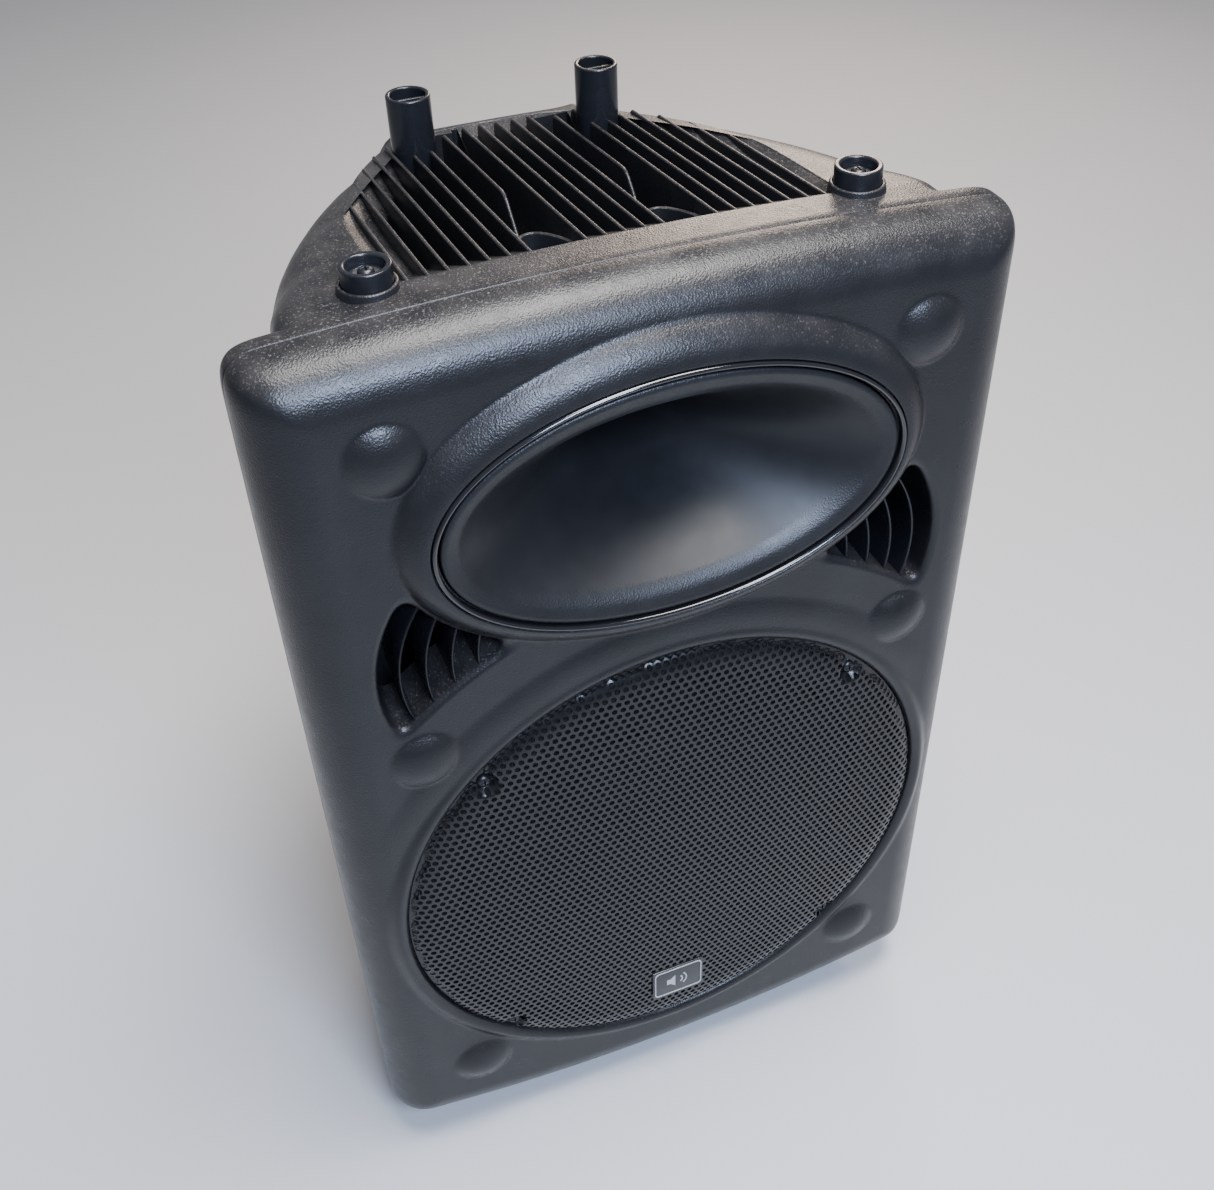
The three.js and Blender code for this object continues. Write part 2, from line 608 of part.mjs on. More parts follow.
function panelPlate() {
  const { halfWidth, bottom, top } = PANEL;
  let sheet = toSolid(block(-halfWidth, halfWidth, PANEL_Y, PANEL_BACK, bottom, top));
  const cut = (geometry) => {
    sheet = sheet.subtract(toSolid(geometry));
  };
  KNOBS.forEach(([x, z]) => cut(shift(rod(3.6, 300, 400, 10), x, 0, z)));
  SOCKETS.forEach(([x, z]) => cut(shift(rod(12.2, 300, 400, 14), x, 0, z)));
  [INLET, SWITCH].forEach(({ x, z, wide, tall }) => (
    cut(block(x - wide / 2, x + wide / 2, 300, 400, z - tall / 2, z + tall / 2))));
  PANEL_SCREWS.forEach(([x, z]) => cut(shift(rod(2.4, 300, 400, 8), x, 0, z)));
  return sheet;
}

function heatsink() {
  const { halfWidth, bottom, top, base, fin, fins } = HEATSINK;
  const y0 = PANEL_BACK + GAP;
  let sink = toSolid(block(-halfWidth, halfWidth, y0, y0 + base, bottom, top));
  for (let i = 0; i < fins; i += 1) {
    const x = -halfWidth + 1.25 + (2 * halfWidth - 2.5) * i / (fins - 1);
    sink = sink.add(toSolid(block(x - 1.25, x + 1.25, y0 + base - 1, y0 + base + fin, bottom, top)));
  }
  return sink;
}

function knob() {
  const profile = [[0, -14], [3, -14], [3, 1], [8.6, 1], [8.6, 4], [7.4, 14.5], [6.4, 15.5], [0, 15.5]];
  const body = turned(profile, 14);
  const mark = block(-0.7, 0.7, 13, 16, 2, 7);
  return toSolid(body).add(toSolid(mark));
}

function inputSocket() {
  const face = toSolid(turned([[7.8, 0], [14, 0], [14, 2], [12.6, 3.2], [7.8, 3.2]], 14));
  const can = turned([[0, -26], [11.8, -26], [11.8, 0.6], [7.8, 0.6], [7.8, -20], [0, -20]], 14);
  let socket = face.add(toSolid(can));
  [[-3.6, 2], [3.6, 2], [0, -4]].forEach(([x, z]) => {
    socket = socket.add(toSolid(shift(rod(1.1, -21, -4, 6), x, 0, z)));
  });
  return socket;
}

function mainsInlet() {
  const { wide, tall } = INLET;
  const g = GAP;
  const flange = block(-wide / 2 - 3, wide / 2 + 3, g, 2.5, -tall / 2 - 2.5, tall / 2 + 2.5);
  const can = block(-wide / 2 + g, wide / 2 - g, -24, 1, -tall / 2 + g, tall / 2 - g);
  const hollow = block(-wide / 2 + 10, wide / 2 - 10, -18, 5, -9, 9);
  let inlet = toSolid(flange).add(toSolid(can)).subtract(toSolid(hollow));
  [-7, 0, 7].forEach((x, i) => {
    const z = i === 1 ? 2.5 : -2;
    inlet = inlet.add(toSolid(block(x - 1, x + 1, -20, -4, z - 2.4, z + 2.4)));
  });
  return inlet;
}

function switchHousing() {
  const { wide, tall } = SWITCH;
  const g = GAP;
  const flange = block(-wide / 2 - 2.5, wide / 2 + 2.5, g, 2.5, -tall / 2 - 2.5, tall / 2 + 2.5);
  const can = block(-wide / 2 + g, wide / 2 - g, -20, 1, -tall / 2 + g, tall / 2 - g);
  const well = block(-wide / 2 + 3, wide / 2 - 3, -14, 5, -tall / 2 + 2.5, tall / 2 - 2.5);
  return toSolid(flange).add(toSolid(can)).subtract(toSolid(well));
}

// The rocker tips about an x axis through its own origin; at rest it lies switched off, one end in.
function rocker() {
  const outline = [[-6, -3], [0, -5], [6, -3], [10.2, 0.6], [8.6, 5.4], [0, 3.2], [-8.6, 5.4],
    [-10.2, 0.6]];
  return beam(polygon(outline.map(([z, y]) => [y, z])), -7, 7);
}

const OFF_ANGLE = THREE.MathUtils.degToRad(8);

// ---- electronics inside ----
function ampBoard() {
  let board = toSolid(block(-62, 62, 322, 323.6, 330, 450));
  const parts = [[-40, 440, 12, 8, 16], [0, 395, 26, 14, 20], [-46, 372, 9, 9, 24], [40, 400, 10, 10, 18]];
  parts.forEach(([x, z, halfX, halfZ, deep]) => {
    board = board.add(toSolid(block(x - halfX, x + halfX, 322.5 - deep, 322.5, z - halfZ, z + halfZ)));
  });
  KNOBS.forEach(([x, z]) => {
    board = board.subtract(toSolid(shift(rod(4, 300, 340, 8), x, 0, z)));
  });
  SOCKETS.forEach(([x, z]) => {
    board = board.subtract(toSolid(shift(rod(13, 290, 340, 12), x, 0, z)));
  });
  return board;
}

const transformerProfile = [[18, -4], [24, -8], [44, -8], [50, -2], [50, 22], [44, 28], [24, 28], [18, 24]];

// ---- materials ----
const finish = {
  shell: [0x1b1c1f, 0.62, 0],
  horn: [0x17181b, 0.45, 0],
  trim: [0x08090b, 0.12, 0],
  post: [0x0b0c0f, 0.35, 0],
  grille: [0x141518, 0.38, 0.6],
  badge: [0x1a1b1e, 0.4, 0.2],
  screw: [0x2a2b2e, 0.3, 1],
  rubber: [0x111113, 0.85, 0],
  steel: [0x6f7277, 0.35, 1],
  magnet: [0x2d2c2c, 0.7, 0.3],
  paper: [0x18181a, 0.9, 0],
  cloth: [0x8c6a3c, 0.9, 0],
  panel: [0x17181a, 0.5, 0.4],
  aluminium: [0x3a3b3e, 0.4, 0.9],
  knob: [0x101113, 0.45, 0],
  board: [0x1d4d2c, 0.6, 0],
  winding: [0xb0872e, 0.5, 0.2],
};

const cabinet = new THREE.Group();

function addPiece(name, geometry, slot, place = [0, 0, 0], turn = [0, 0, 0]) {
  const [color, roughness, metalness] = finish[slot];
  const shape = geometry.isBufferGeometry ? geometry : toGeometry(geometry);
  const mesh = new THREE.Mesh(shape, new THREE.MeshStandardMaterial({ color, roughness, metalness }));
  mesh.name = name;
  mesh.position.set(...place);
  mesh.rotation.set(...turn);
  cabinet.add(mesh);
}

const BACKWARD = [Math.PI, 0, 0];   // turns a piece made facing +Y so that it faces -Y

addPiece('front_shell', frontShell(), 'shell');
addPiece('rear_shell', rearShell(), 'shell');

addPiece('horn_flare', hornFlare(), 'horn');
addPiece('horn_trim_ring', hornTrimRing(), 'trim');
Object.entries(driverProfile).forEach(([name, profile]) => {
  addPiece(name, turned(profile, 24), name === 'hf_magnet' ? 'magnet' : 'steel', [0, HORN_DEPTH, HORN.z]);
});
const diaphragmProfile = [[0, 32], [14, 33.5], [22, 37], [22, 37.8], [13, 34.6], [0, 33]];
addPiece('hf_diaphragm', turned(diaphragmProfile, 20), 'winding', [0, HORN_DEPTH, HORN.z]);

const wooferSlots = {
  woofer_cone: 'paper',
  woofer_surround: 'rubber',
  woofer_spider: 'cloth',
  woofer_magnet: 'magnet',
  woofer_voice_coil: 'winding',
};
addPiece('woofer_basket', basket(), 'steel', [0, 0, GRILLE.z]);
Object.entries(wooferProfile).forEach(([name, profile]) => {
  const segments = name === 'woofer_spider' ? 16 : 24;
  addPiece(name, turned(profile, segments), wooferSlots[name] ?? 'steel', [0, 0, GRILLE.z]);
});
addPiece('woofer_dust_cap', dustCap(), 'paper', [0, 0, GRILLE.z]);

addPiece('woofer_grille', grille(), 'grille');
addPiece('grille_badge', badgePlate(), 'badge', [0, BADGE.y, BADGE.z]);
grilleScrewPlaces().forEach(([x, z], i) => {
  addPiece(`grille_screw_${i + 1}`, turned(screwProfile(4.6, 2, 11), 10), 'screw', [x, -GAP, z], BACKWARD);
});

const rearPostBase = ribTop(POST.rearY) - 4 + GAP;
[['left', -1], ['right', 1]].forEach(([side, sign]) => {
  const x = sign * POST.frontX;
  const seat = POST.top - 7 + GAP;
  addPiece(`post_front_${side}`, frontPost(), 'post', [x, POST.frontY, POST.top - 10]);
  addPiece(`post_washer_${side}`, vertical(washerProfile, 12), 'steel', [x, POST.frontY, seat]);
  addPiece(`post_screw_${side}`, vertical(screwProfile(4.6, 2.2, 16), 10), 'screw',
    [x, POST.frontY, seat + GAP + 1.2]);
  addPiece(`post_rear_${side}`, rearPost(POST.top - rearPostBase), 'post',
    [sign * POST.rearX, POST.rearY, rearPostBase]);
});

const footPlaces = {
  front_left: [-140, 66],
  front_right: [140, 66],
  rear_left: [-70, 296],
  rear_right: [70, 296],
};
Object.entries(footPlaces).forEach(([place, [x, y]]) => {
  addPiece(`foot_${place}`, vertical(footProfile, 14), 'rubber', [x, y, 0]);
});
addPiece('pole_socket', vertical(poleProfile, 20), 'post', [0, POLE.y, BODY.bottom - 3 - GAP]);

screwColumns().forEach(([x, z], i) => {
  const screw = turned(screwProfile(4.8, 2, 24), 10);
  addPiece(`shell_screw_${i + 1}`, screw, 'screw', [x, BODY.flangeBack + GAP, z]);
});

addPiece('rear_panel', panelPlate(), 'panel');
addPiece('heatsink', heatsink(), 'aluminium');
KNOBS.forEach(([x, z], i) => {
  addPiece(KNOB_NAMES[i], knob(), 'knob', [x, PANEL_BACK, z]);
});
SOCKETS.forEach(([x, z], i) => {
  addPiece(SOCKET_NAMES[i], inputSocket(), 'post', [x, PANEL_BACK + GAP, z]);
});
addPiece('mains_inlet', mainsInlet(), 'post', [INLET.x, PANEL_BACK, INLET.z]);
addPiece('power_switch', switchHousing(), 'post', [SWITCH.x, PANEL_BACK, SWITCH.z]);
addPiece('power_rocker', rocker(), 'knob', [SWITCH.x, PANEL_BACK - 3, SWITCH.z], [OFF_ANGLE, 0, 0]);
PANEL_SCREWS.forEach(([x, z], i) => {
  const screw = turned(screwProfile(4, 2, 5.5), 10);
  addPiece(`panel_screw_${i + 1}`, screw, 'screw', [x, PANEL_BACK + GAP, z]);
});
addPiece('amp_board', ampBoard(), 'board');
addPiece('mains_transformer', turned(transformerProfile, 24), 'winding', [0, 300, 226]);

cabinet.position.y = CABINET_SHIFT;

const root = new THREE.Group();
root.add(cabinet);

export default root;
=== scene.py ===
"""A moulded two-way PA loudspeaker cabinet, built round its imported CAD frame."""
import math

import bmesh
import bpy
import numpy as np
from mathutils import Matrix, Vector
from mathutils.geometry import delaunay_2d_cdt


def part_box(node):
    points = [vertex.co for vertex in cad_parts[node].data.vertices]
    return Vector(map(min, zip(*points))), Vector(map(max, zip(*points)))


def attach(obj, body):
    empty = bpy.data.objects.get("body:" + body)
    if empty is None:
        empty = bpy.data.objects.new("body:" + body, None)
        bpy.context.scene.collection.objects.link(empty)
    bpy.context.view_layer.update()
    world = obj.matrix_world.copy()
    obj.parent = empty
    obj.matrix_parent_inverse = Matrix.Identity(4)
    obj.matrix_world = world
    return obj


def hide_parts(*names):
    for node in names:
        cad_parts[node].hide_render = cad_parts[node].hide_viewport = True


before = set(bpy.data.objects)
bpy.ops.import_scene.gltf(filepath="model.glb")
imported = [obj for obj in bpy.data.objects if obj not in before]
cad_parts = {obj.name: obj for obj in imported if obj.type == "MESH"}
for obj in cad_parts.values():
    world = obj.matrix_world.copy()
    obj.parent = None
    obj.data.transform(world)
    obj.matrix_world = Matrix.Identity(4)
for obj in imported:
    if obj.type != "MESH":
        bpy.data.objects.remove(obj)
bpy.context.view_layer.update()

# ---- driving sizes, in millimetres, with y counted back from the flat front face ----
MM = 0.001


def box_mm(node):
    """A node's lowest and highest corner in millimetres, in the world's own y."""
    low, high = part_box(node)
    return [value / MM for value in low], [value / MM for value in high]


RING_PROUD = 12.4                     # how far the horn's surround stands out of the face
shell_low, shell_high = box_mm("front_shell")
FACE = shell_low[1] + RING_PROUD      # the world y of the flat face
HALF = shell_high[0]
TOP = shell_high[2]
BOTTOM = shell_low[2]
TOP_CROWN = 9.0
BOTTOM_CROWN = 24.0
ROLL = 34.0                           # radius of the soft front edge
CORNER_POWER = 4.5                    # shape of the outline's corners
PART_Y = 34.1
GAP = 0.3

horn_low, horn_high = box_mm("horn_trim_ring")
HORN_Z = (horn_low[2] + horn_high[2]) / 2
RING_A = horn_high[0] + GAP
RING_B = (horn_high[2] - horn_low[2]) / 2 + GAP
MOUTH_A = RING_A - 4.0
MOUTH_B = RING_B - 4.0
MOUND = {"z": HORN_Z + 3, "a": 163.0, "b": 103.0}

grille_low, grille_high = box_mm("woofer_grille")
GRILLE_Z = (grille_low[2] + grille_high[2]) / 2
GRILLE_EDGE = grille_high[0]
OPENING = GRILLE_EDGE + 1.2
LIP_TOP = OPENING + 6.5
LIP_FOOT = OPENING + 15.0
ARCH = 225.0
LIP_PROUD = 4.0

DOMES = ((158.5, 644.0), (162.0, 425.5), (156.0, 92.0))
DOME_RADIUS = 22.9
DOME_HEIGHT = 8.0
VENT = {"x": 160.0, "z": 487.0, "side": 182.0, "under": 256.0, "gap": 3.0, "blend": 14.0, "deep": 42.0,
        "reach": 90.0}
VENT_BEZEL = 5.0
FIN = {"radius": 94.0, "z": 488.0, "first": 169.0, "pitch": 15.8, "count": 4, "half": 1.0}

SLOPE = 0.117                         # the rear moulding's top falls this much towards the back
SLOPE_START = 60.0
CELL = 1.6     # size of the front face's grid cells
HALVINGS = 30                         # steps that find an outline's edge
CLEAR = 60.0                          # stands for "nowhere near a cut"


# ---- mesh helpers ----
class Form:
    """Points and faces gathered into one mesh."""

    def __init__(self):
        self.points = []
        self.faces = []

    def add(self, points, faces):
        start = len(self.points)
        self.points.extend(map(tuple, points))
        self.faces.extend(tuple(start + i for i in face) for face in faces)
        return start

    def take(self, other):
        self.add(other.points, other.faces)


def full_turn(count):
    """Evenly spaced angles round a circle."""
    return np.arange(count) * 2 * math.pi / count


def unit(vectors):
    return vectors / np.linalg.norm(vectors, axis=1, keepdims=True)


def path_length(points):
    """The length along a path up to each of its points."""
    return np.concatenate([[0], np.cumsum(np.linalg.norm(np.diff(points, axis=0), axis=1))])


def evenly(points, count):
    """A path's points spaced evenly along its length."""
    length = path_length(points)
    at = np.linspace(0, length[-1], count)
    return np.stack([np.interp(at, length, points[:, k]) for k in range(2)], 1)


def edge_radius(is_inside, count, limit):
    """How far out from a centre an outline lies at each of count angles, found by halving."""
    near, far = np.zeros(count), np.full(count, limit)
    for _ in range(HALVINGS):
        middle = (near + far) / 2
        inside = is_inside(middle)
        near = np.where(inside, middle, near)
        far = np.where(inside, far, middle)
    return near


def grid_faces(rows, columns, closed=False):
    """Quads over rows x columns points; closed joins the last column to the first."""
    wide = columns if closed else columns - 1
    return [
        (r * columns + c, r * columns + (c + 1) % columns,
         (r + 1) * columns + (c + 1) % columns, (r + 1) * columns + c)
        for r in range(rows - 1)
        for c in range(wide)
    ]


def make_piece(name, form, material, body="cabinet", replaced=(), smooth=40.0):
    """Turns a Form in millimetres into a Blender object that rides on a body."""
    mesh = bpy.data.meshes.new(name)
    points = np.array(form.points, float)
    points[:, 1] += FACE
    mesh.from_pydata((points * MM).tolist(), [], form.faces)
    work = bmesh.new()
    work.from_mesh(mesh)
    bmesh.ops.remove_doubles(work, verts=work.verts, dist=2e-6)
    bmesh.ops.dissolve_degenerate(work, dist=1e-7, edges=work.edges)
    bmesh.ops.recalc_face_normals(work, faces=work.faces)
    work.to_mesh(mesh)
    work.free()
    mesh.shade_smooth()
    mesh.set_sharp_from_angle(angle=math.radians(smooth))
    piece = bpy.data.objects.new(name, mesh)
    bpy.context.scene.collection.objects.link(piece)
    piece.data.materials.append(material)
    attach(piece, body)
    if replaced:
        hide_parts(*replaced)
    return piece


def soften(profile, radius, steps=4, closed=False):
    """Rounds every corner of a profile of (r, h) points with an arc-like curve."""
    count = len(profile)
    smooth = []
    for i, point in enumerate(profile):
        here = np.array(point, float)
        if not closed and i in (0, count - 1):
            smooth.append(tuple(here))
            continue
        before = np.array(profile[i - 1], float) - here
        after = np.array(profile[(i + 1) % count], float) - here
        reach = min(radius, np.linalg.norm(before) * 0.45, np.linalg.norm(after) * 0.45)
        start = here + before / np.linalg.norm(before) * reach
        end = here + after / np.linalg.norm(after) * reach
        for step in range(steps + 1):
            t = step / steps
            smooth.append(tuple((1 - t) ** 2 * start + 2 * t * (1 - t) * here + t * t * end))
    return smooth


def lathe(profile, centre, axis="Z", segments=64):
    """A Form turned from (radius, along) points about an axis through centre."""
    form = Form()
    angles = full_turn(segments)
    rows = []
    for radius, along in profile:
        first = centre[0] + radius * np.cos(angles)
        other = radius * np.sin(angles)
        if axis == "Z":
            rows.append(np.stack([first, centre[1] + other, np.full(segments, centre[2] + along)], 1))
        else:
            rows.append(np.stack([first, np.full(segments, centre[1] + along), centre[2] + other], 1))
    form.add(np.concatenate(rows), grid_faces(len(profile), segments, True))
    return form


def joined(*forms):
    whole = Form()
    for form in forms:
        whole.take(form)
    return whole


def rounded_box(low, high, radius, steps=3):
    """A box with rounded edges and corners: a cube's grid pulled onto a rounded form."""
    low, high = np.array(low, float), np.array(high, float)
    radius = min(radius, *(0.49 * (high - low)))
    turns = np.sin(np.linspace(0, math.pi / 2, steps + 1))
    along = [np.concatenate([low[i] + radius * (1 - turns[::-1]), high[i] - radius * (1 - turns)])
             for i in range(3)]
    count = 2 * (steps + 1)
    form = Form()
    for axis in range(3):
        first, second = [i for i in range(3) if i != axis]
        for end in (low[axis], high[axis]):
            grid = np.zeros((count, count, 3))
            grid[..., first] = along[first][:, None]
            grid[..., second] = along[second][None, :]
            grid[..., axis] = end
            core = np.clip(grid, low + radius, high - radius)
            offset = grid - core
            length = np.linalg.norm(offset, axis=2, keepdims=True)
            grid = core + offset / length * radius
            form.add(grid.reshape(-1, 3), grid_faces(count, count))
    return form


def cut(points, quads, value):
    """Keeps the part of a grid where value is above zero; returns points, faces and the cut edge."""
    points = [tuple(point) for point in points]
    inside = value > 0
    faces = []
    crossings = {}

    def crossing(a, b):
        key = (min(a, b), max(a, b))
        if key not in crossings:
            t = value[key[0]] / (value[key[0]] - value[key[1]])
            first, second = np.array(points[key[0]]), np.array(points[key[1]])
            crossings[key] = len(points)
            points.append(tuple(first + (second - first) * t))
        return crossings[key]

    for quad in quads:
        kept = [inside[i] for i in quad]
        if all(kept):
            faces.append(quad)
        elif any(kept):
            face = []
            for k in range(4):
                here, after = quad[k], quad[(k + 1) % 4]
                if inside[here]:
                    face.append(here)
                if inside[here] != inside[after]:
                    face.append(crossing(here, after))
            faces.append(tuple(face))
    return points, faces, sorted(crossings.values())


def zipper(first, first_angles, second, second_angles):
    """Triangles between two closed rings of point numbers, each sorted by its angle."""
    faces = []
    i = j = 0
    a, b = len(first), len(second)
    while i < a or j < b:
        next_first = first_angles[i + 1] if i + 1 < a else first_angles[0] + 2 * math.pi
        next_second = second_angles[j + 1] if j + 1 < b else second_angles[0] + 2 * math.pi
        if j >= b or (i < a and next_first <= next_second):
            faces.append((first[i % a], first[(i + 1) % a], second[j % b]))
            i += 1
        else:
            faces.append((first[i % a], second[(j + 1) % b], second[j % b]))
            j += 1
    return faces


def fill_ring(form, edge, rows, centre):
    """Joins a cut edge to the first of several rings of points, then the rings to each other."""
    def angles(points):
        return np.arctan2(points[:, 1] - centre[1], points[:, 0] - centre[0])

    across = rows["across"]
    edge_points = np.array([form.points[i] for i in edge])[:, across]
    edge_angles = angles(edge_points)
    order = np.argsort(edge_angles)
    first_row = rows["rings"][0]
    row_angles = angles(first_row[:, across])
    turn = np.argsort(row_angles)
    rings = [ring[turn] for ring in rows["rings"]]
    count = len(turn)
    start = form.add(np.concatenate(rings), grid_faces(len(rings), count, True))
    outer = [edge[i] for i in order]
    inner = [start + i for i in range(count)]
    form.faces.extend(zipper(outer, edge_angles[order], inner, row_angles[turn]))


# ---- the front face as a height over x and z ----
def smooth_max(a, b, blend):
    mix = np.maximum(blend - np.abs(a - b), 0) / blend
    return np.maximum(a, b) + mix * mix * blend / 4


def smooth_step(t):
    t = np.clip(t, 0, 1)
    return t * t * (3 - 2 * t)


def top_edge(x):
    return TOP - TOP_CROWN * (x / HALF) ** 2


def bottom_edge(x):
    return BOTTOM + BOTTOM_CROWN * (x / HALF) ** 2


def edge_drop(x, z):
    """How far the soft outer edge has fallen back at a point of the face."""
    over_x = np.clip((np.abs(x) - (HALF - ROLL)) / ROLL, 0, 1)
    above = z - (top_edge(x) - ROLL)
    below = bottom_edge(x) + ROLL - z
    over_z = np.clip(np.maximum(above, below) / ROLL, 0, 1)
    reach = np.clip((over_x ** CORNER_POWER + over_z ** CORNER_POWER) ** (1 / CORNER_POWER), 0, 1)
    return ROLL * (1 - np.sqrt(1 - reach ** 2))


def face_height(x, z, drop=None):
    """The y of the front face at x and z, with its mound, arch, lip and domes."""
    drop = edge_drop(x, z) if drop is None else drop
    outside = np.clip(1 - np.hypot(x / MOUND["a"], (z - MOUND["z"]) / MOUND["b"]), 0, None)
    inside = np.clip(np.hypot(x / RING_A, (z - HORN_Z) / RING_B) - 1, 0, None)
    mound = outside / (outside + inside + 1e-9)
    rise = RING_PROUD * (1 - (1 - mound) ** 2.2)
    radius = np.hypot(x, z - GRILLE_Z)
    arch = np.clip((ARCH - radius) / (ARCH - LIP_FOOT), 0, 1)
    fade = smooth_step((z - GRILLE_Z - 60) / 100)
    rise = smooth_max(rise, LIP_PROUD * 0.8 * (1 - (1 - arch) ** 2) * fade, 1.5)
    lip = np.clip((LIP_FOOT - radius) / (LIP_FOOT - LIP_TOP), 0, 1)
    rise = smooth_max(rise, LIP_PROUD * smooth_step(lip), 1.0)
    ball = (DOME_RADIUS ** 2 + DOME_HEIGHT ** 2) / (2 * DOME_HEIGHT)
    for dome_x, dome_z in DOMES:
        away = np.hypot(np.abs(x) - dome_x, z - dome_z)
        cap = np.sqrt(np.clip(ball ** 2 - away ** 2, 0, None)) - (ball - DOME_HEIGHT)
        rise = smooth_max(rise, np.clip(cap, 0, None), 0.6)
    held = np.maximum(mound, lip)
    return drop * (1 - held) - rise


def vent_distance(x, z):
    """Below zero inside a vent: clear of the horn's mound, the grille's arch and the side."""
    dz = z - MOUND["z"]
    ring = np.hypot(x / MOUND["a"], dz / MOUND["b"])
    slope = np.hypot(x / MOUND["a"] ** 2, dz / MOUND["b"] ** 2) / ring
    from_mound = VENT["gap"] - (ring - 1) / slope
    from_arch = VENT["under"] - np.hypot(x, z - GRILLE_Z)
    both = smooth_max(from_mound, from_arch, VENT["blend"])
    centre = FIN["first"] - FIN["radius"]
    from_side = np.hypot(np.abs(x) - centre, z - FIN["z"]) - (VENT["side"] - centre)
    return smooth_max(both, from_side, VENT["blend"])


def vent_ring(side, grow, count=200):
    """Points x, z round a vent, a given distance outside its opening."""
    angles = full_turn(count)

    def place(radius):
        return VENT["x"] + radius * np.cos(angles), VENT["z"] + radius * np.sin(angles)

    x, z = place(edge_radius(lambda radius: vent_distance(*place(radius)) < grow, count, VENT["reach"]))
    return side * x, z


def oval_ring(a, b, centre_z, count=300):
    angles = full_turn(count)
    return a * np.cos(angles), centre_z + b * np.sin(angles)


def ring_points(x, z, y):
    return np.stack([x, np.broadcast_to(y, x.shape), z], 1)


def face_grid():
    """The whole front face with its soft edge, as an unrolled grid."""
    turn = math.pi / 2
    steps = int(ROLL * turn / CELL)
    roll = np.linspace(0, turn, steps + 1)[1:]
    flat = np.linspace(-1, 1, int(2 * (HALF - ROLL) / CELL))
    tall = np.linspace(0, 1, int((TOP - BOTTOM - 2 * ROLL) / CELL))
    over_u = np.concatenate([-np.sin(roll[::-1]), np.zeros(len(flat)), np.sin(roll)])
    flat_u = np.concatenate([np.full(steps, -1.0), flat, np.full(steps, 1.0)])
    over_v = np.concatenate([-np.sin(roll[::-1]), np.zeros(len(tall)), np.sin(roll)])
    flat_v = np.concatenate([np.zeros(steps), tall, np.ones(steps)])
    ou, ov = np.meshgrid(over_u, over_v)
    fu, fv = np.meshgrid(flat_u, flat_v)
    reach = np.maximum(np.abs(ou), np.abs(ov))
    norm = (np.abs(ou) ** CORNER_POWER + np.abs(ov) ** CORNER_POWER) ** (1 / CORNER_POWER)
    pull = np.where(norm > 0, reach / np.maximum(norm, 1e-9), 1)
    x = fu * (HALF - ROLL) + ROLL * ou * pull
    low = bottom_edge(x) + ROLL
    high = top_edge(x) - ROLL
    z = low + (high - low) * fv + ROLL * ov * pull
    drop = ROLL * (1 - np.sqrt(np.clip(1 - reach ** 2, 0, 1)))
    y = face_height(x, z, drop)
    return np.stack([x, y, z], 2)


def outline_loop(grid):
    """The outer edge of the face grid, in order."""
    return np.concatenate([grid[0, :-1], grid[:-1, -1], grid[-1, :0:-1], grid[:0:-1, 0]])


def inward(loop):
    """Unit vectors in x and z that point into a closed loop."""
    along = np.roll(loop, -1, 0) - np.roll(loop, 1, 0)
    return unit(np.stack([-along[:, 2], along[:, 0]], 1))


def inset_rows(loop, profile):
    """Copies of a loop moved in by the first value of each pair, at the y of the second."""
    normal = inward(loop)
    rows = []
    for inset, y in profile:
        row = loop.copy()
        row[:, 0] += normal[:, 0] * inset
        row[:, 2] += normal[:, 1] * inset
        row[:, 1] = y
        rows.append(row)
    return rows


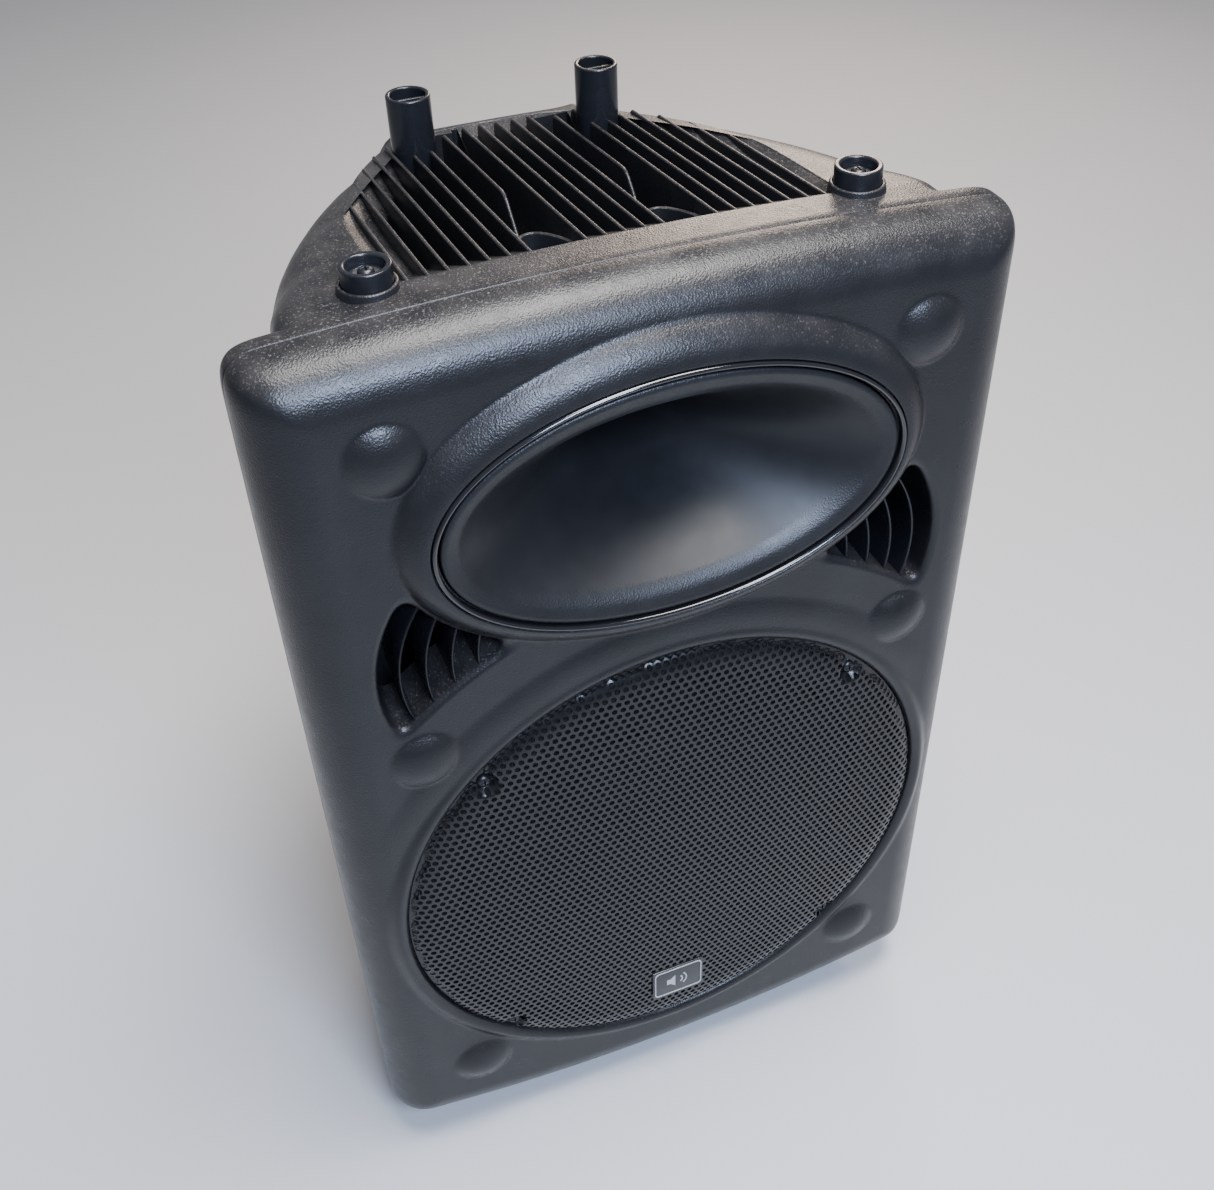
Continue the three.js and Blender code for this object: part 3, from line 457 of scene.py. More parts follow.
def front_form(grid):
    rows, columns = grid.shape[:2]
    points = grid.reshape(-1, 3)
    x, z = points[:, 0], points[:, 2]
    horn = (np.hypot(x / (RING_A + 4), (z - HORN_Z) / (RING_B + 4)) - 1) * RING_B
    grille = np.hypot(x, z - GRILLE_Z) - (LIP_FOOT + 1)
    vents = vent_distance(x, z) - VENT_BEZEL
    near_vent = (np.abs(x) > 70) & (np.abs(z - VENT["z"]) < 90)
    vents = np.where(near_vent, vents, 50)
    value = np.minimum(np.minimum(horn, grille), vents)
    cut_points, faces, edge = cut(points, grid_faces(rows, columns), value)
    form = Form()
    form.points = cut_points
    form.faces = faces
    for i in edge:
        px, _, pz = form.points[i]
        form.points[i] = (px, float(face_height(np.array(px), np.array(pz))), pz)

    def belongs(i, centre_x, centre_z, reach_x, reach_z):
        px, _, pz = form.points[i]
        return np.hypot((px - centre_x) / reach_x, (pz - centre_z) / reach_z) < 1

    horn_edge = [i for i in edge if belongs(i, 0, HORN_Z, RING_A + 6, RING_B + 6)]
    grille_edge = [i for i in edge if belongs(i, 0, GRILLE_Z, LIP_FOOT + 3, LIP_FOOT + 3)]
    taken = set(horn_edge) | set(grille_edge)
    horn_rings = []
    for grow in (3.6, 2.4, 1.4, 0.8):
        ring_x, ring_z = oval_ring(RING_A + grow, RING_B + grow, HORN_Z)
        horn_rings.append(ring_points(ring_x, ring_z, face_height(ring_x, ring_z)))
    for grow, y in ((0.35, -12.2), (0.1, -11.9), (0, -11.4), (0, -8.6), (-4.5, -8.6)):
        horn_rings.append(ring_points(*oval_ring(RING_A + grow, RING_B + grow, HORN_Z), y))
    fill_ring(form, horn_edge, {"rings": horn_rings, "across": [0, 2]}, (0, HORN_Z))
    lip_rings = []
    for radius in np.linspace(LIP_FOOT + 0.6, LIP_TOP, 7):
        ring_x, ring_z = oval_ring(radius, radius, GRILLE_Z)
        lip_rings.append(ring_points(ring_x, ring_z, face_height(ring_x, ring_z)))
    for turn in np.linspace(0, math.pi / 2, 9)[1:]:
        radius = LIP_TOP - (LIP_TOP - OPENING) * math.sin(turn)
        depth = -LIP_PROUD + 5.0 * (1 - math.cos(turn))
        lip_rings.append(ring_points(*oval_ring(radius, radius, GRILLE_Z), depth))
    for radius, depth in ((OPENING, 21.5), (OPENING - 18, 21.9), (OPENING - 18, 27)):
        lip_rings.append(ring_points(*oval_ring(radius, radius, GRILLE_Z), depth))
    fill_ring(form, grille_edge, {"rings": lip_rings, "across": [0, 2]}, (0, GRILLE_Z))
    for side in (-1, 1):
        vent_edge = [i for i in edge if i not in taken and form.points[i][0] * side > 0]
        rings = []
        for grow in (4.6, 3.6, 2.6, 1.7, 1.0, 0.5, 0.15, 0.0):
            ring_x, ring_z = vent_ring(side, grow)
            sink = VENT_BEZEL - math.sqrt(VENT_BEZEL ** 2 - (VENT_BEZEL - grow) ** 2)
            rings.append(ring_points(ring_x, ring_z, face_height(ring_x, ring_z) + sink))
        deep = ring_points(*vent_ring(side, 0.0), VENT["deep"])
        rings.append(deep)
        fill_ring(form, vent_edge, {"rings": rings, "across": [0, 2]}, (side * VENT["x"], VENT["z"]))
    loop = outline_loop(grid)
    behind = inset_rows(loop, ((0, PART_Y - 0.6), (0.2, PART_Y - 0.2), (0.7, PART_Y), (4.5, PART_Y)))
    form.add(np.concatenate([loop] + behind), grid_faces(5, len(loop), True))
    return form


def fin_form():
    """The curved fins inside both vents, each a thin plate with a rounded front edge."""
    form = Form()
    section = [(-1, 40), (-1, 4.4), (-0.72, 3.5), (0, 3), (0.72, 3.5), (1, 4.4), (1, 40)]
    for side in (-1, 1):
        for i in range(FIN["count"]):
            centre = FIN["first"] - FIN["pitch"] * i - FIN["radius"]
            angles = np.linspace(-1.2, 1.2, 240)
            x = centre + FIN["radius"] * np.cos(angles)
            z = FIN["z"] + FIN["radius"] * np.sin(angles)
            angles = angles[vent_distance(x, z) < 1.0]
            rows = []
            for across, y in section:
                radius = FIN["radius"] + across * FIN["half"]
                x = side * (centre + radius * np.cos(angles))
                rows.append(ring_points(x, FIN["z"] + radius * np.sin(angles), y))
            form.add(np.concatenate(rows), grid_faces(len(section), len(angles)))
    return form


# ---- rear moulding ----
SIDE_PLAN = ((194, 46), (193, 72), (189, 105), (181, 136), (170, 165), (157, 192), (143, 217),
             (120, 256), (96, 297), (81, 327))
BACK_Y = 335.0
BACK_HALF = 78.0
BACK_FLAT = 66.0                      # half width of the part of the back that is quite flat
PANEL_OPEN = {"half": 64.5, "low": 162.0, "high": 458.0}
BODY_BOTTOM = 10.0
PLAN_POINTS = 171
NORMAL_WINDOW = 31
FOOT_ROLL = 24.0
POCKET_PLAN = ((132, 50), (132, 62), (132, 100), (132, 135), (130, 168), (121, 198), (110, 227),
               (99, 250), (87, 270), (76, 283.5), (65, 292), (54, 296.5), (30, 299), (0, 300))
POCKET_DEEP = 46.0
SHELF = {"start": 61.5, "end": 106.0, "fall": 0.36, "side_fall": 0.5, "side": 24.0}
FLANGE = {"thick": 15.6, "round": 8.0, "straight": 188.0}
RIM_DROP = 3.0                        # how far the rim behind the ribs lies below their tops
RIB = {"pitch": 11.2, "base": 1.65, "top": 1.15, "start": 61.0, "back": 290.0, "short": 38.0}
SCOOP = (24.0, 52.4)
POLE_Y = 165.0
POLE_HOLE = 30.0                      # radius of the hole in the underside, hidden by the socket's flange
HANDLE = {"y": 178.0, "z": 400.0, "wide": 96.0, "tall": 84.0, "inner": 93.5, "corner": 16.0,
          "bevel": 7.0, "reach": 120.0}


def rim_surface(x, y):
    """The top's outer surface: level with the ribs in front, a little lower behind them."""
    return top_surface(x, y) - RIM_DROP * smooth_step((y - 200) / 80)


def top_surface(x, y):
    """The height of the rear moulding's top, with its crown and its fall to the back."""
    return TOP - 0.4 - TOP_CROWN * (x / HALF) ** 2 - SLOPE * np.maximum(y - SLOPE_START, 0)


def smooth_curve(points, count):
    """A smooth open curve through points, evenly spaced along its length."""
    points = np.array(points, float)
    padded = np.concatenate([[2 * points[0] - points[1]], points, [2 * points[-1] - points[-2]]])
    dense = []
    for i in range(len(points) - 1):
        p0, p1, p2, p3 = padded[i:i + 4]
        for t in np.linspace(0, 1, 24, endpoint=False):
            dense.append(0.5 * (2 * p1 + (p2 - p0) * t + (2 * p0 - 5 * p1 + 4 * p2 - p3) * t * t
                                + (3 * p1 - p0 - 3 * p2 + p3) * t ** 3))
    dense.append(points[-1])
    return evenly(np.array(dense), count)


def plan_loop():
    """The rear moulding's plan from the left front round the back to the right front."""
    side = smooth_curve(SIDE_PLAN, 130)
    corner = np.array(soften((SIDE_PLAN[-1], (BACK_HALF, BACK_Y), (BACK_FLAT, BACK_Y)), 8, 8))[1:]
    across = np.linspace(BACK_FLAT, 0, 24)[1:]
    half = np.concatenate([side, corner, np.stack([across, np.full(len(across), BACK_Y)], 1)])
    half = evenly(half, PLAN_POINTS)
    left = half * (-1, 1)
    return np.concatenate([left, half[-2::-1]])


def plan_normals(plan):
    """Directions that point into the plan, smoothed so that inset loops never cross themselves."""
    along = np.gradient(plan, axis=0)
    normal = unit(np.stack([along[:, 1], -along[:, 0]], 1))
    reach = NORMAL_WINDOW // 2
    padded = np.pad(normal, ((reach, reach), (0, 0)), mode="edge")
    window = np.ones(NORMAL_WINDOW) / NORMAL_WINDOW
    return unit(np.stack([np.convolve(padded[:, k], window, mode="valid") for k in range(2)], 1))


def floor_z(x, y):
    """The height of the rear moulding's underside."""
    crown = BOTTOM_CROWN * np.clip((np.abs(x) - 150) / 75, 0, 1) ** 2
    return BODY_BOTTOM + crown * (1 - smooth_step((y - 50) / 140))


def pocket_loop(plan):
    """Points on the edge of the ribs' hollow, one for each point of the plan."""
    half = smooth_curve(POCKET_PLAN, 400)
    length = np.linspace(0, 1, len(half))
    middle = len(plan) // 2
    steps = path_length(plan[:middle + 1])
    at = steps / steps[-1]
    x = np.interp(at, length, half[:, 0])
    y = np.interp(at, length, half[:, 1])
    left = np.stack([-x, y], 1)
    return np.concatenate([left, left[-2::-1] * (-1, 1)])


def body_rows(plan):
    """Rows of points up the outside of the rear moulding, over its top and into the hollow."""
    normal = plan_normals(plan)
    pocket = pocket_loop(plan)
    soft = 15 + 19 * smooth_step((plan[:, 1] - 60) / 60)
    fall = soft * (1 + 0.9 * smooth_step((plan[:, 1] - 230) / 80))
    rows = []

    def put(inset, z):
        flat = plan + normal * np.broadcast_to(inset, len(plan))[:, None]
        rows.append(np.stack([flat[:, 0], flat[:, 1], np.broadcast_to(z, len(plan))], 1))

    floor = floor_z(plan[:, 0], plan[:, 1])
    for turn in np.linspace(math.pi / 2, 0, 9):
        put(FOOT_ROLL * (1 - math.cos(turn)), floor + FOOT_ROLL * (1 - math.sin(turn)))
    low = floor + FOOT_ROLL
    for t in np.linspace(0, 1, 62)[1:-1]:
        rim = rim_surface(plan[:, 0] + normal[:, 0] * soft, plan[:, 1] + normal[:, 1] * soft) - fall
        put(0, low + (rim - low) * t)
    for turn in np.linspace(0, math.pi / 2, 11):
        inset = soft * (1 - math.cos(turn))
        flat = plan + normal * inset[:, None]
        height = rim_surface(flat[:, 0], flat[:, 1])
        put(inset, height - fall * (1 - math.sin(turn)))
    edge = plan + normal * soft[:, None]
    for t in (0.15, 0.35, 0.55, 0.75, 0.9, 0.97):
        flat = edge + (pocket - edge) * t
        rows.append(np.stack([flat[:, 0], flat[:, 1], rim_surface(flat[:, 0], flat[:, 1])], 1))
    height = rim_surface(pocket[:, 0], pocket[:, 1])
    toward = unit(pocket - edge)
    for inset, drop in ((0, 0.05), (0.6, 0.4), (1.2, 1.6)):
        flat = pocket + toward * inset
        rows.append(np.stack([flat[:, 0], flat[:, 1], height - drop], 1))
    return np.stack(rows)


def rounded_gap(p, q, half_p, half_q, corner):
    """Distance outside a rounded rectangle centred on nought."""
    over_p = np.abs(p) - half_p + corner
    over_q = np.abs(q) - half_q + corner
    return np.hypot(np.maximum(over_p, 0), np.maximum(over_q, 0)) + np.minimum(
        np.maximum(over_p, over_q), 0) - corner


def grip_gap(y, z):
    """Distance outside a hand grip's mouth, y and z measured from its middle."""
    return rounded_gap(y, z, HANDLE["wide"] / 2, HANDLE["tall"] / 2, HANDLE["corner"])


def handle_ring(grow, count=160):
    """Points y, z round a hand grip's mouth, a given distance outside it."""
    angles = full_turn(count)
    across, up = np.cos(angles), np.sin(angles)
    radius = edge_radius(lambda r: grip_gap(r * across, r * up) < grow, count, HANDLE["reach"])
    return HANDLE["y"] + radius * across, HANDLE["z"] + radius * up


def rear_body_form():
    plan = plan_loop()
    rows = body_rows(plan)
    count, columns = rows.shape[:2]
    points = rows.reshape(-1, 3)
    bevel = HANDLE["bevel"]
    grip = grip_gap(points[:, 1] - HANDLE["y"], points[:, 2] - HANDLE["z"]) - bevel
    grip = np.where(np.abs(points[:, 0]) > 90, grip, CLEAR)
    middle = (PANEL_OPEN["high"] + PANEL_OPEN["low"]) / 2
    panel = np.maximum(np.abs(points[:, 0]) - PANEL_OPEN["half"],
                       np.abs(points[:, 2] - middle) - (PANEL_OPEN["high"] - middle))
    panel = np.where(points[:, 1] > BACK_Y - 2, panel, CLEAR)
    cut_points, faces, edge = cut(points, grid_faces(count, columns), np.minimum(grip, panel))
    form = Form()
    form.points = cut_points
    form.faces = faces
    half = smooth_curve(SIDE_PLAN, 200)
    for side in (-1, 1):
        mouth = [i for i in edge if form.points[i][0] * side > 90]
        rings = []
        for grow in (6.6, 5, 3.5, 2.2, 1.2, 0.5, 0.1, 0.0):
            y, z = handle_ring(grow)
            x = np.interp(y, half[:, 1], half[:, 0])
            sink = bevel - math.sqrt(bevel ** 2 - (bevel - grow) ** 2)
            rings.append(np.stack([side * (x - sink), y, z], 1))
        for grow, inner in ((0, 22), (-0.4, 2.5), (-1.2, 0.8), (-3, 0), (-38, 0)):
            y, z = handle_ring(grow)
            rings.append(np.stack([np.full(len(y), side * (HANDLE["inner"] + inner)), y, z], 1))
        fill_ring(form, mouth, {"rings": rings, "across": [1, 2]}, (HANDLE["y"], HANDLE["z"]))
    return form


def framed(loop, inset, y):
    """A copy of the outline pushed inside a square-cornered frame that lies an inset within it."""
    row = loop.copy()
    row[:, 0] = np.clip(row[:, 0], inset - HALF, HALF - inset)
    row[:, 1] = y
    row[:, 2] = np.clip(row[:, 2], bottom_edge(row[:, 0]) + inset, top_edge(row[:, 0]) - inset)
    return row


def flange_form(grid):
    """The rim behind the parting line: straight along the top, rounded at its sides and foot."""
    loop = outline_loop(grid)
    normal = inward(loop)
    start = PART_Y + GAP
    held = smooth_step((FLANGE["straight"] - np.abs(loop[:, 0])) / FLANGE["round"]) * (loop[:, 2] > TOP / 2)
    rows = []
    profile = [(4.5, 0), (0.7, 0), (0.2, 0.25), (0, 0.7), (0, 6)]
    thick, round_off = FLANGE["thick"], FLANGE["round"]
    for turn in np.linspace(0, math.pi / 2, 7):
        profile.append((round_off * (1 - math.cos(turn)), thick - round_off * (1 - math.sin(turn))))
    for inset, back in profile:
        move = np.where(back > 6, inset * (1 - held), inset)
        row = loop.copy()
        row[:, 0] += normal[:, 0] * move
        row[:, 2] += normal[:, 1] * move
        row[:, 1] = start + back
        rows.append(row)
    for inset in (20, 40):
        row = framed(loop, inset, start + thick)
        row[:, 0] = row[:, 0] * (1 - held) + loop[:, 0] * held
        row[:, 2] = row[:, 2] * (1 - held) + loop[:, 2] * held
        rows.append(row)
    form = Form()
    form.add(np.concatenate(rows), grid_faces(len(rows), len(loop), True))
    backing = [framed(loop, inset, start + thick - 0.4) for inset in (10, 60)]
    form.add(np.concatenate(backing), grid_faces(len(backing), len(loop), True))
    return form


def pocket_back(x):
    """How far back the ribs' hollow reaches at a given x."""
    half = smooth_curve(POCKET_PLAN, 300)[::-1]
    return np.interp(np.abs(x), np.maximum.accumulate(half[:, 0]), half[:, 1])


def floor_height(x, y):
    """The floor between the ribs: it slopes in from every side, then falls into a deep hollow."""
    edge = smooth_curve(POCKET_PLAN, 300)
    wide = np.abs(x)
    gap = np.full(x.shape, 1e9)
    for edge_x, edge_y in edge[edge[:, 1] > 62]:
        gap = np.minimum(gap, np.hypot(wide - edge_x, y - edge_y))
    from_front = np.clip(y - SHELF["start"], 0, None) * SHELF["fall"]
    shallow = np.minimum(from_front, 0.2 + gap * SHELF["side_fall"])
    scoop = (wide > SCOOP[0]) & (wide < SCOOP[1]) & (y > SHELF["start"] + 0.6)
    deep = ((y > SHELF["end"]) & (gap > SHELF["side"])) | scoop & (gap > 4)
    return rim_surface(x, y) - np.where(deep, POCKET_DEEP - 2, shallow)


def top_form():
    """The front strip of the top and the floor under the ribs."""
    xs = np.unique(np.concatenate([np.linspace(-132, 132, 123), [
        side * (edge + nudge) for side in (-1, 1) for edge in SCOOP for nudge in (-0.15, 0.15)]]))
    ys = np.concatenate([[49.7, 53, 57, 59, 60.5, 61.5, 62.2, 64, 67], np.arange(70, 104, 4),
                         [105.8, 106.2], np.arange(108, 304, 2.4)])
    grid_x, grid_y = np.meshgrid(xs, ys)
    grid_y = np.minimum(grid_y, pocket_back(grid_x))
    form = Form()
    points = np.stack([grid_x, grid_y, floor_height(grid_x, grid_y)], 2)
    form.add(points.reshape(-1, 3), grid_faces(len(ys), len(xs)))
    return form


def rib_path(start, end, short):
    """Points y, z-below-the-top and the outward direction along a rib's top edge."""
    tip = 4.5
    path = []
    if short:
        path += [(start, -27.0), (start + 8, -20.0), (start + 16, -11.5), (start + 23, -4.2),
                 (start + 27, -1.4), (start + 31, -0.3)]
    else:
        path += [(start, 0.1), (start + 3, 0.0)]
    for y in np.linspace(path[-1][0] + 4, end - tip, 12):
        path.append((y, 0.0))
    for turn in np.linspace(0, math.pi / 2, 7)[1:]:
        path.append((end - tip + tip * math.sin(turn), -tip * (1 - math.cos(turn))))
    path.append((end, -POCKET_DEEP + 1))
    return np.array(path)


def rib_form():
    form = Form()
    places = [(side * (54 + RIB["pitch"] * k), False) for side in (-1, 1) for k in range(7)]
    places += [(RIB["pitch"] * k, False) for k in range(-2, 3)]
    places += [(-RIB["short"], True), (RIB["short"], True)]
    for x, short in places:
        far = abs(x)
        end = RIB["back"] if far < 50 else min(RIB["back"], float(pocket_back(far)) - 0.5)
        start = 128.0 if short else RIB["start"]
        path = rib_path(start, 282.0 if short else end, short)
        y = path[:, 0]
        z = top_surface(x, y) + path[:, 1]
        tangent = unit(np.gradient(np.stack([y, z], 1), axis=0))
        out = np.stack([-tangent[:, 1], tangent[:, 0]], 1)
        foot_y = np.minimum(y, y[-1] - 6)
        foot_z = top_surface(x, foot_y) - POCKET_DEEP + 1
        radius = RIB["top"]
        columns = [np.stack([np.full(len(y), x - RIB["base"]), foot_y, foot_z], 1)]
        for turn in np.linspace(-math.pi / 2, math.pi / 2, 7):
            sink = radius * (1 - math.cos(turn))
            columns.append(np.stack([np.full(len(y), x + radius * math.sin(turn)),
                                     y - out[:, 0] * sink, z - out[:, 1] * sink], 1))
        columns.append(np.stack([np.full(len(y), x + RIB["base"]), foot_y, foot_z], 1))
        form.add(np.concatenate(columns), grid_faces(len(columns), len(y)))
    return form


def scoop_form():
    """The curved cup in front of each short rib."""
    form = Form()
    plan = smooth_curve(((24.2, 72), (25, 90), (29.5, 101), (37, 103.5), (45, 94), (52.2, 76)), 40)
    along = np.gradient(plan, axis=0)
    normal = unit(np.stack([along[:, 1], -along[:, 0]], 1))
    for side in (-1, 1):
        rows = []
        for inset, drop in ((0, 44), (0, 9.5), (0.3, 8.2), (1.3, 7.6), (2.6, 7.9), (3, 9), (3, 44)):
            flat = plan - normal * inset
            x = flat[:, 0] if side > 0 else flat[:, 0] - 2 * RIB["short"]
            height = top_surface(x, flat[:, 1]) - drop
            rows.append(np.stack([x, flat[:, 1], height], 1))
        form.add(np.concatenate(rows), grid_faces(len(rows), len(plan)))
    return form


POSTS = {"radius": 13.8, "front": (141.4, 63.2), "rear": (62.0, 263.5), "top": 720.0}


def boss_form():
    """The low collar that each front post stands in."""
    forms = []
    x, y = POSTS["front"]
    profile = soften(((14.1, -20), (14.1, 4.5), (15.9, 4.2), (17.2, -3.5), (21, -7)), 1.4)
    for side in (-1, 1):
        top = float(top_surface(np.array(side * x), np.array(y)))
        forms.append(lathe(profile, (side * x, y, top), "Z", 72))
    return joined(*forms)


# ---- horn ----
def horn_form():
    """The horn's mouth lip and its flare down to the throat."""
    throat, depth = 13.2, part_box("horn_flare")[1].y / MM - FACE
    lip = soften(((1.6, -8.9), (1.6, -11.2), (4.5, -12.2), (11.5, -9.6), (17, -5.2)), 2.2, 5)
    rings = [(MOUTH_A - inset, MOUTH_B - inset, y) for inset, y in lip]
    first_a, first_b, first_y = rings[-1]
    for t in np.linspace(0, 1, 44)[1:]:
        spread = (1 - t) ** 1.7
        rings.append((throat + (first_a - throat) * spread, throat + (first_b - throat) * spread,
                      first_y + (depth - first_y) * t))
    form = Form()
    points = np.concatenate([ring_points(*oval_ring(a, b, HORN_Z, 200), y) for a, b, y in rings])
    form.add(points, grid_faces(len(rings), 200, True))
    return form


def bead_form():
    """The rounded bead round the horn's mouth, sitting in its groove."""
    middle_a, middle_b = RING_A - 2.15, RING_B - 2.15
    section = [(-1.65, -8.8)]
    for turn in np.linspace(-math.pi / 2, math.pi / 2, 11):
        section.append((1.65 * math.sin(turn), -11.0 - 2.6 * math.cos(turn)))
    section.append((1.65, -8.8))
    form = Form()
    points = np.concatenate([
        ring_points(*oval_ring(middle_a + across, middle_b + across, HORN_Z, 260), y)
        for across, y in section])
    form.add(points, grid_faces(len(section), 260, True))
    return form


# ---- grille ----
GRILLE = {"pitch": 5.7, "hole": 1.95, "crown": 13.0, "thick": 1.2, "shoulder": 171.0, "dimple": 10.0}
SCREW_X, SCREW_Z = 129.0, 131.0


def grille_screw_places():
    return [(sx * SCREW_X, GRILLE_Z + sz * SCREW_Z) for sx, sz in ((-1, 1), (1, 1), (-1, -1), (1, -1))]


def sheet_height(x, z):
    """The y of the grille's sheet, a gentle dome with a rounded shoulder and screw dimples."""
    radius = np.hypot(x, z - GRILLE_Z)
    dome = GRILLE["crown"] - 5.6 * (radius / GRILLE["shoulder"]) ** 2
    past = np.clip((radius - GRILLE["shoulder"]) / (GRILLE_EDGE + 0.4 - GRILLE["shoulder"]), 0, 0.995)
    y = -dome * np.sqrt(1 - past ** 2.3)
    for screw_x, screw_z in grille_screw_places():
        away = np.hypot(x - screw_x, z - screw_z)
        dip = smooth_step((GRILLE["dimple"] - away) / (GRILLE["dimple"] - 4.4))
        y = y * (1 - dip) - 0.1 * dip
    return y


def grille_form():
    """The perforated sheet: one hexagon of metal round each hole, with the hole's own wall."""
    pitch, hole = GRILLE["pitch"], GRILLE["hole"]
    across = pitch / 2
    corner = pitch / math.sqrt(3)
    turns = np.arange(12) * math.pi / 6
    rim_radius = np.where(np.arange(12) % 2 == 0, across, corner)
    sides = len(turns)
    form = Form()
    reach = int(GRILLE_EDGE / pitch) + 2
    faces = grid_faces(3, sides, True)
    for row in range(-reach - 8, reach + 9):
        for column in range(-reach, reach + 1):
            x = (column + 0.5 * (row % 2)) * pitch
            z = row * pitch * math.sqrt(3) / 2
            radius = math.hypot(x, z)
            if radius > GRILLE_EDGE - 2.2:
                continue
            rings = []
            for ring_radius, back in ((rim_radius, 0), (hole, 0), (hole, GRILLE["thick"])):
                ring_x = x + ring_radius * np.cos(turns)
                ring_z = GRILLE_Z + z + ring_radius * np.sin(turns)
                outer = np.hypot(ring_x, ring_z - GRILLE_Z)
                pull = np.minimum(1, GRILLE_EDGE / outer)
                ring_x, ring_z = ring_x * pull, GRILLE_Z + (ring_z - GRILLE_Z) * pull
                rings.append(ring_points(ring_x, ring_z, sheet_height(ring_x, ring_z) + back))
            form.add(np.concatenate(rings), faces)
    rim = [(GRILLE_EDGE + past, y) for past, y in ((-5.5, 0.5), (-0.3, 0.5), (0.7, 0.9), (0.7, 3))]
    return joined(form, lathe(rim, (0, 0, GRILLE_Z), "Y", 200))


BADGE_EDGE = 1.6


def badge_forms():
    """The badge's plate, its thin pale frame and a plain loudspeaker sign."""
    low, high = box_mm("grille_badge")
    front, back = low[1] - FACE, high[1] - FACE
    plate = rounded_box((low[0], front + 0.5, low[2]), (high[0], back, high[2]), 0.9, 3)
    form = Form()
    centre = ((low[0] + high[0]) / 2, (low[2] + high[2]) / 2)
    half = ((high[0] - low[0]) / 2, (high[2] - low[2]) / 2)
    under, face = front + 0.55, front + 0.1
    rows = []
    inner = BADGE_EDGE + 0.8
    for inset, y in ((BADGE_EDGE, under), (BADGE_EDGE, face), (inner, face), (inner, under)):
        loop = rectangle(*centre, half[0] - inset, half[1] - inset, 3.4, 8)(0)
        rows.append(ring_points(loop[:, 0], loop[:, 1], y))
    form.add(np.concatenate(rows), grid_faces(len(rows), len(rows[0]), True))
    body = [(-9.5, -2.6), (-6.4, -2.6), (-2.6, -6.4), (-2.6, 6.4), (-6.4, 2.6), (-9.5, 2.6)]
    sign = [(centre[0] + x, y, centre[1] + z) for y in (face, under) for x, z in body]
    form.add(sign, grid_faces(2, len(body), True) + [tuple(range(len(body)))])
    for radius in (4.6, 8.0):
        turns = np.linspace(-0.85, 0.85, 14)
        rows = []
        for wide, y in ((-0.55, under), (-0.55, face), (0.55, face), (0.55, under)):
            reach = radius + wide
            rows.append(ring_points(centre[0] - 1.2 + reach * np.cos(turns),
                                    centre[1] + reach * np.sin(turns), y))
        form.add(np.concatenate(rows), grid_faces(4, len(turns)))
    return plate, form


# ---- screws ----
def screw_form(centre, facing, radius, tall=2.9, arm=0.5):
    """A pan head with a cross recess; facing is the unit vector that its head points along."""
    facing = Vector(facing)
    turn = Vector((0, 0, 1)).rotation_difference(facing).to_matrix()
    steps, segments = 26, 64
    radii = np.linspace(1, 0.02, steps)
    angles = full_turn(segments)
    spread, around = np.meshgrid(radii, angles, indexing="ij")
    u, v = radius * spread * np.cos(around), radius * spread * np.sin(around)
    dome = tall * (1 - spread ** 2.6) ** 0.5
    reach = radius * 0.58
    arm_u = smooth_step((arm - np.abs(u)) / 0.25) * smooth_step((reach - np.abs(v)) / 0.5)
    arm_v = smooth_step((arm - np.abs(v)) / 0.25) * smooth_step((reach - np.abs(u)) / 0.5)
    height = dome - np.maximum(arm_u, arm_v) * tall * 0.62
    local = np.stack([u, v, height], 2).reshape(-1, 3)
    skirt = np.stack([radius * np.cos(angles), radius * np.sin(angles), np.full(segments, -0.4)], 1)
    local = np.concatenate([skirt, local])
    placed = local @ np.array(turn).T + np.array(centre)
    form = Form()
    form.add(placed, grid_faces(steps + 1, segments, True))
    return form


# ---- posts, feet and pole socket ----
def front_post_form(side):
    x, y = POSTS["front"]
    r, top = POSTS["radius"], POSTS["top"]
    profile = soften(((r, -24), (r, 0), (r - 3.4, -0.2), (r - 4.2, -7), (2.7, -7), (2.7, -12)), 1.3, 5)
    return lathe(profile, (side * x, y, top), "Z", 96)


def rear_post_forms(side):
    x, y = POSTS["rear"]
    r, top = POSTS["radius"], POSTS["top"]
    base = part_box("post_rear_left")[0].z / MM
    profile = soften(((r, base - top), (r, 0), (r - 2.9, -0.1), (r - 3.3, base + 16 - top),
                      (0.05, base + 16 - top)), 1.2, 5)
    cup = lathe(profile, (side * x, y, top), "Z", 96)
    web = rounded_box((side * x - r + 2.6, y - 1, base + 15), (side * x + r - 2.6, y + 1, top - 3), 0.5, 2)
    return joined(cup, web)


def washer_form(centre):
    profile = soften(((2.9, 0), (7.4, 0), (7.4, 1.2), (2.9, 1.2)), 0.3, 2, closed=True)
    return lathe(profile + profile[:1], centre, "Z", 48)


def foot_form(x, y):
    profile = soften(((0.05, 0.6), (4.2, 0.6), (4.2, 0.0), (13.6, 0.0), (15.2, 1.2), (15.9, 9.2),
                      (0.05, 9.2)), 0.9, 4)
    return lathe(profile, (x, y, 0), "Z", 64)


def pole_socket_form():
    low, high = box_mm("pole_socket")
    x, y = (low[0] + high[0]) / 2, (low[1] + high[1]) / 2 - FACE
    bore, flange, outer = 17.8, high[0], 21.0
    deep = high[2] - low[2]
    profile = soften(((0.05, deep - 3), (bore, deep - 3), (bore, 1.2), (bore + 1.5, 0.1), (flange, 0.1),
                      (flange, 3), (outer, 3), (outer, deep)), 0.9, 4)
    return lathe(profile, (x, y, low[2]), "Z", 96)


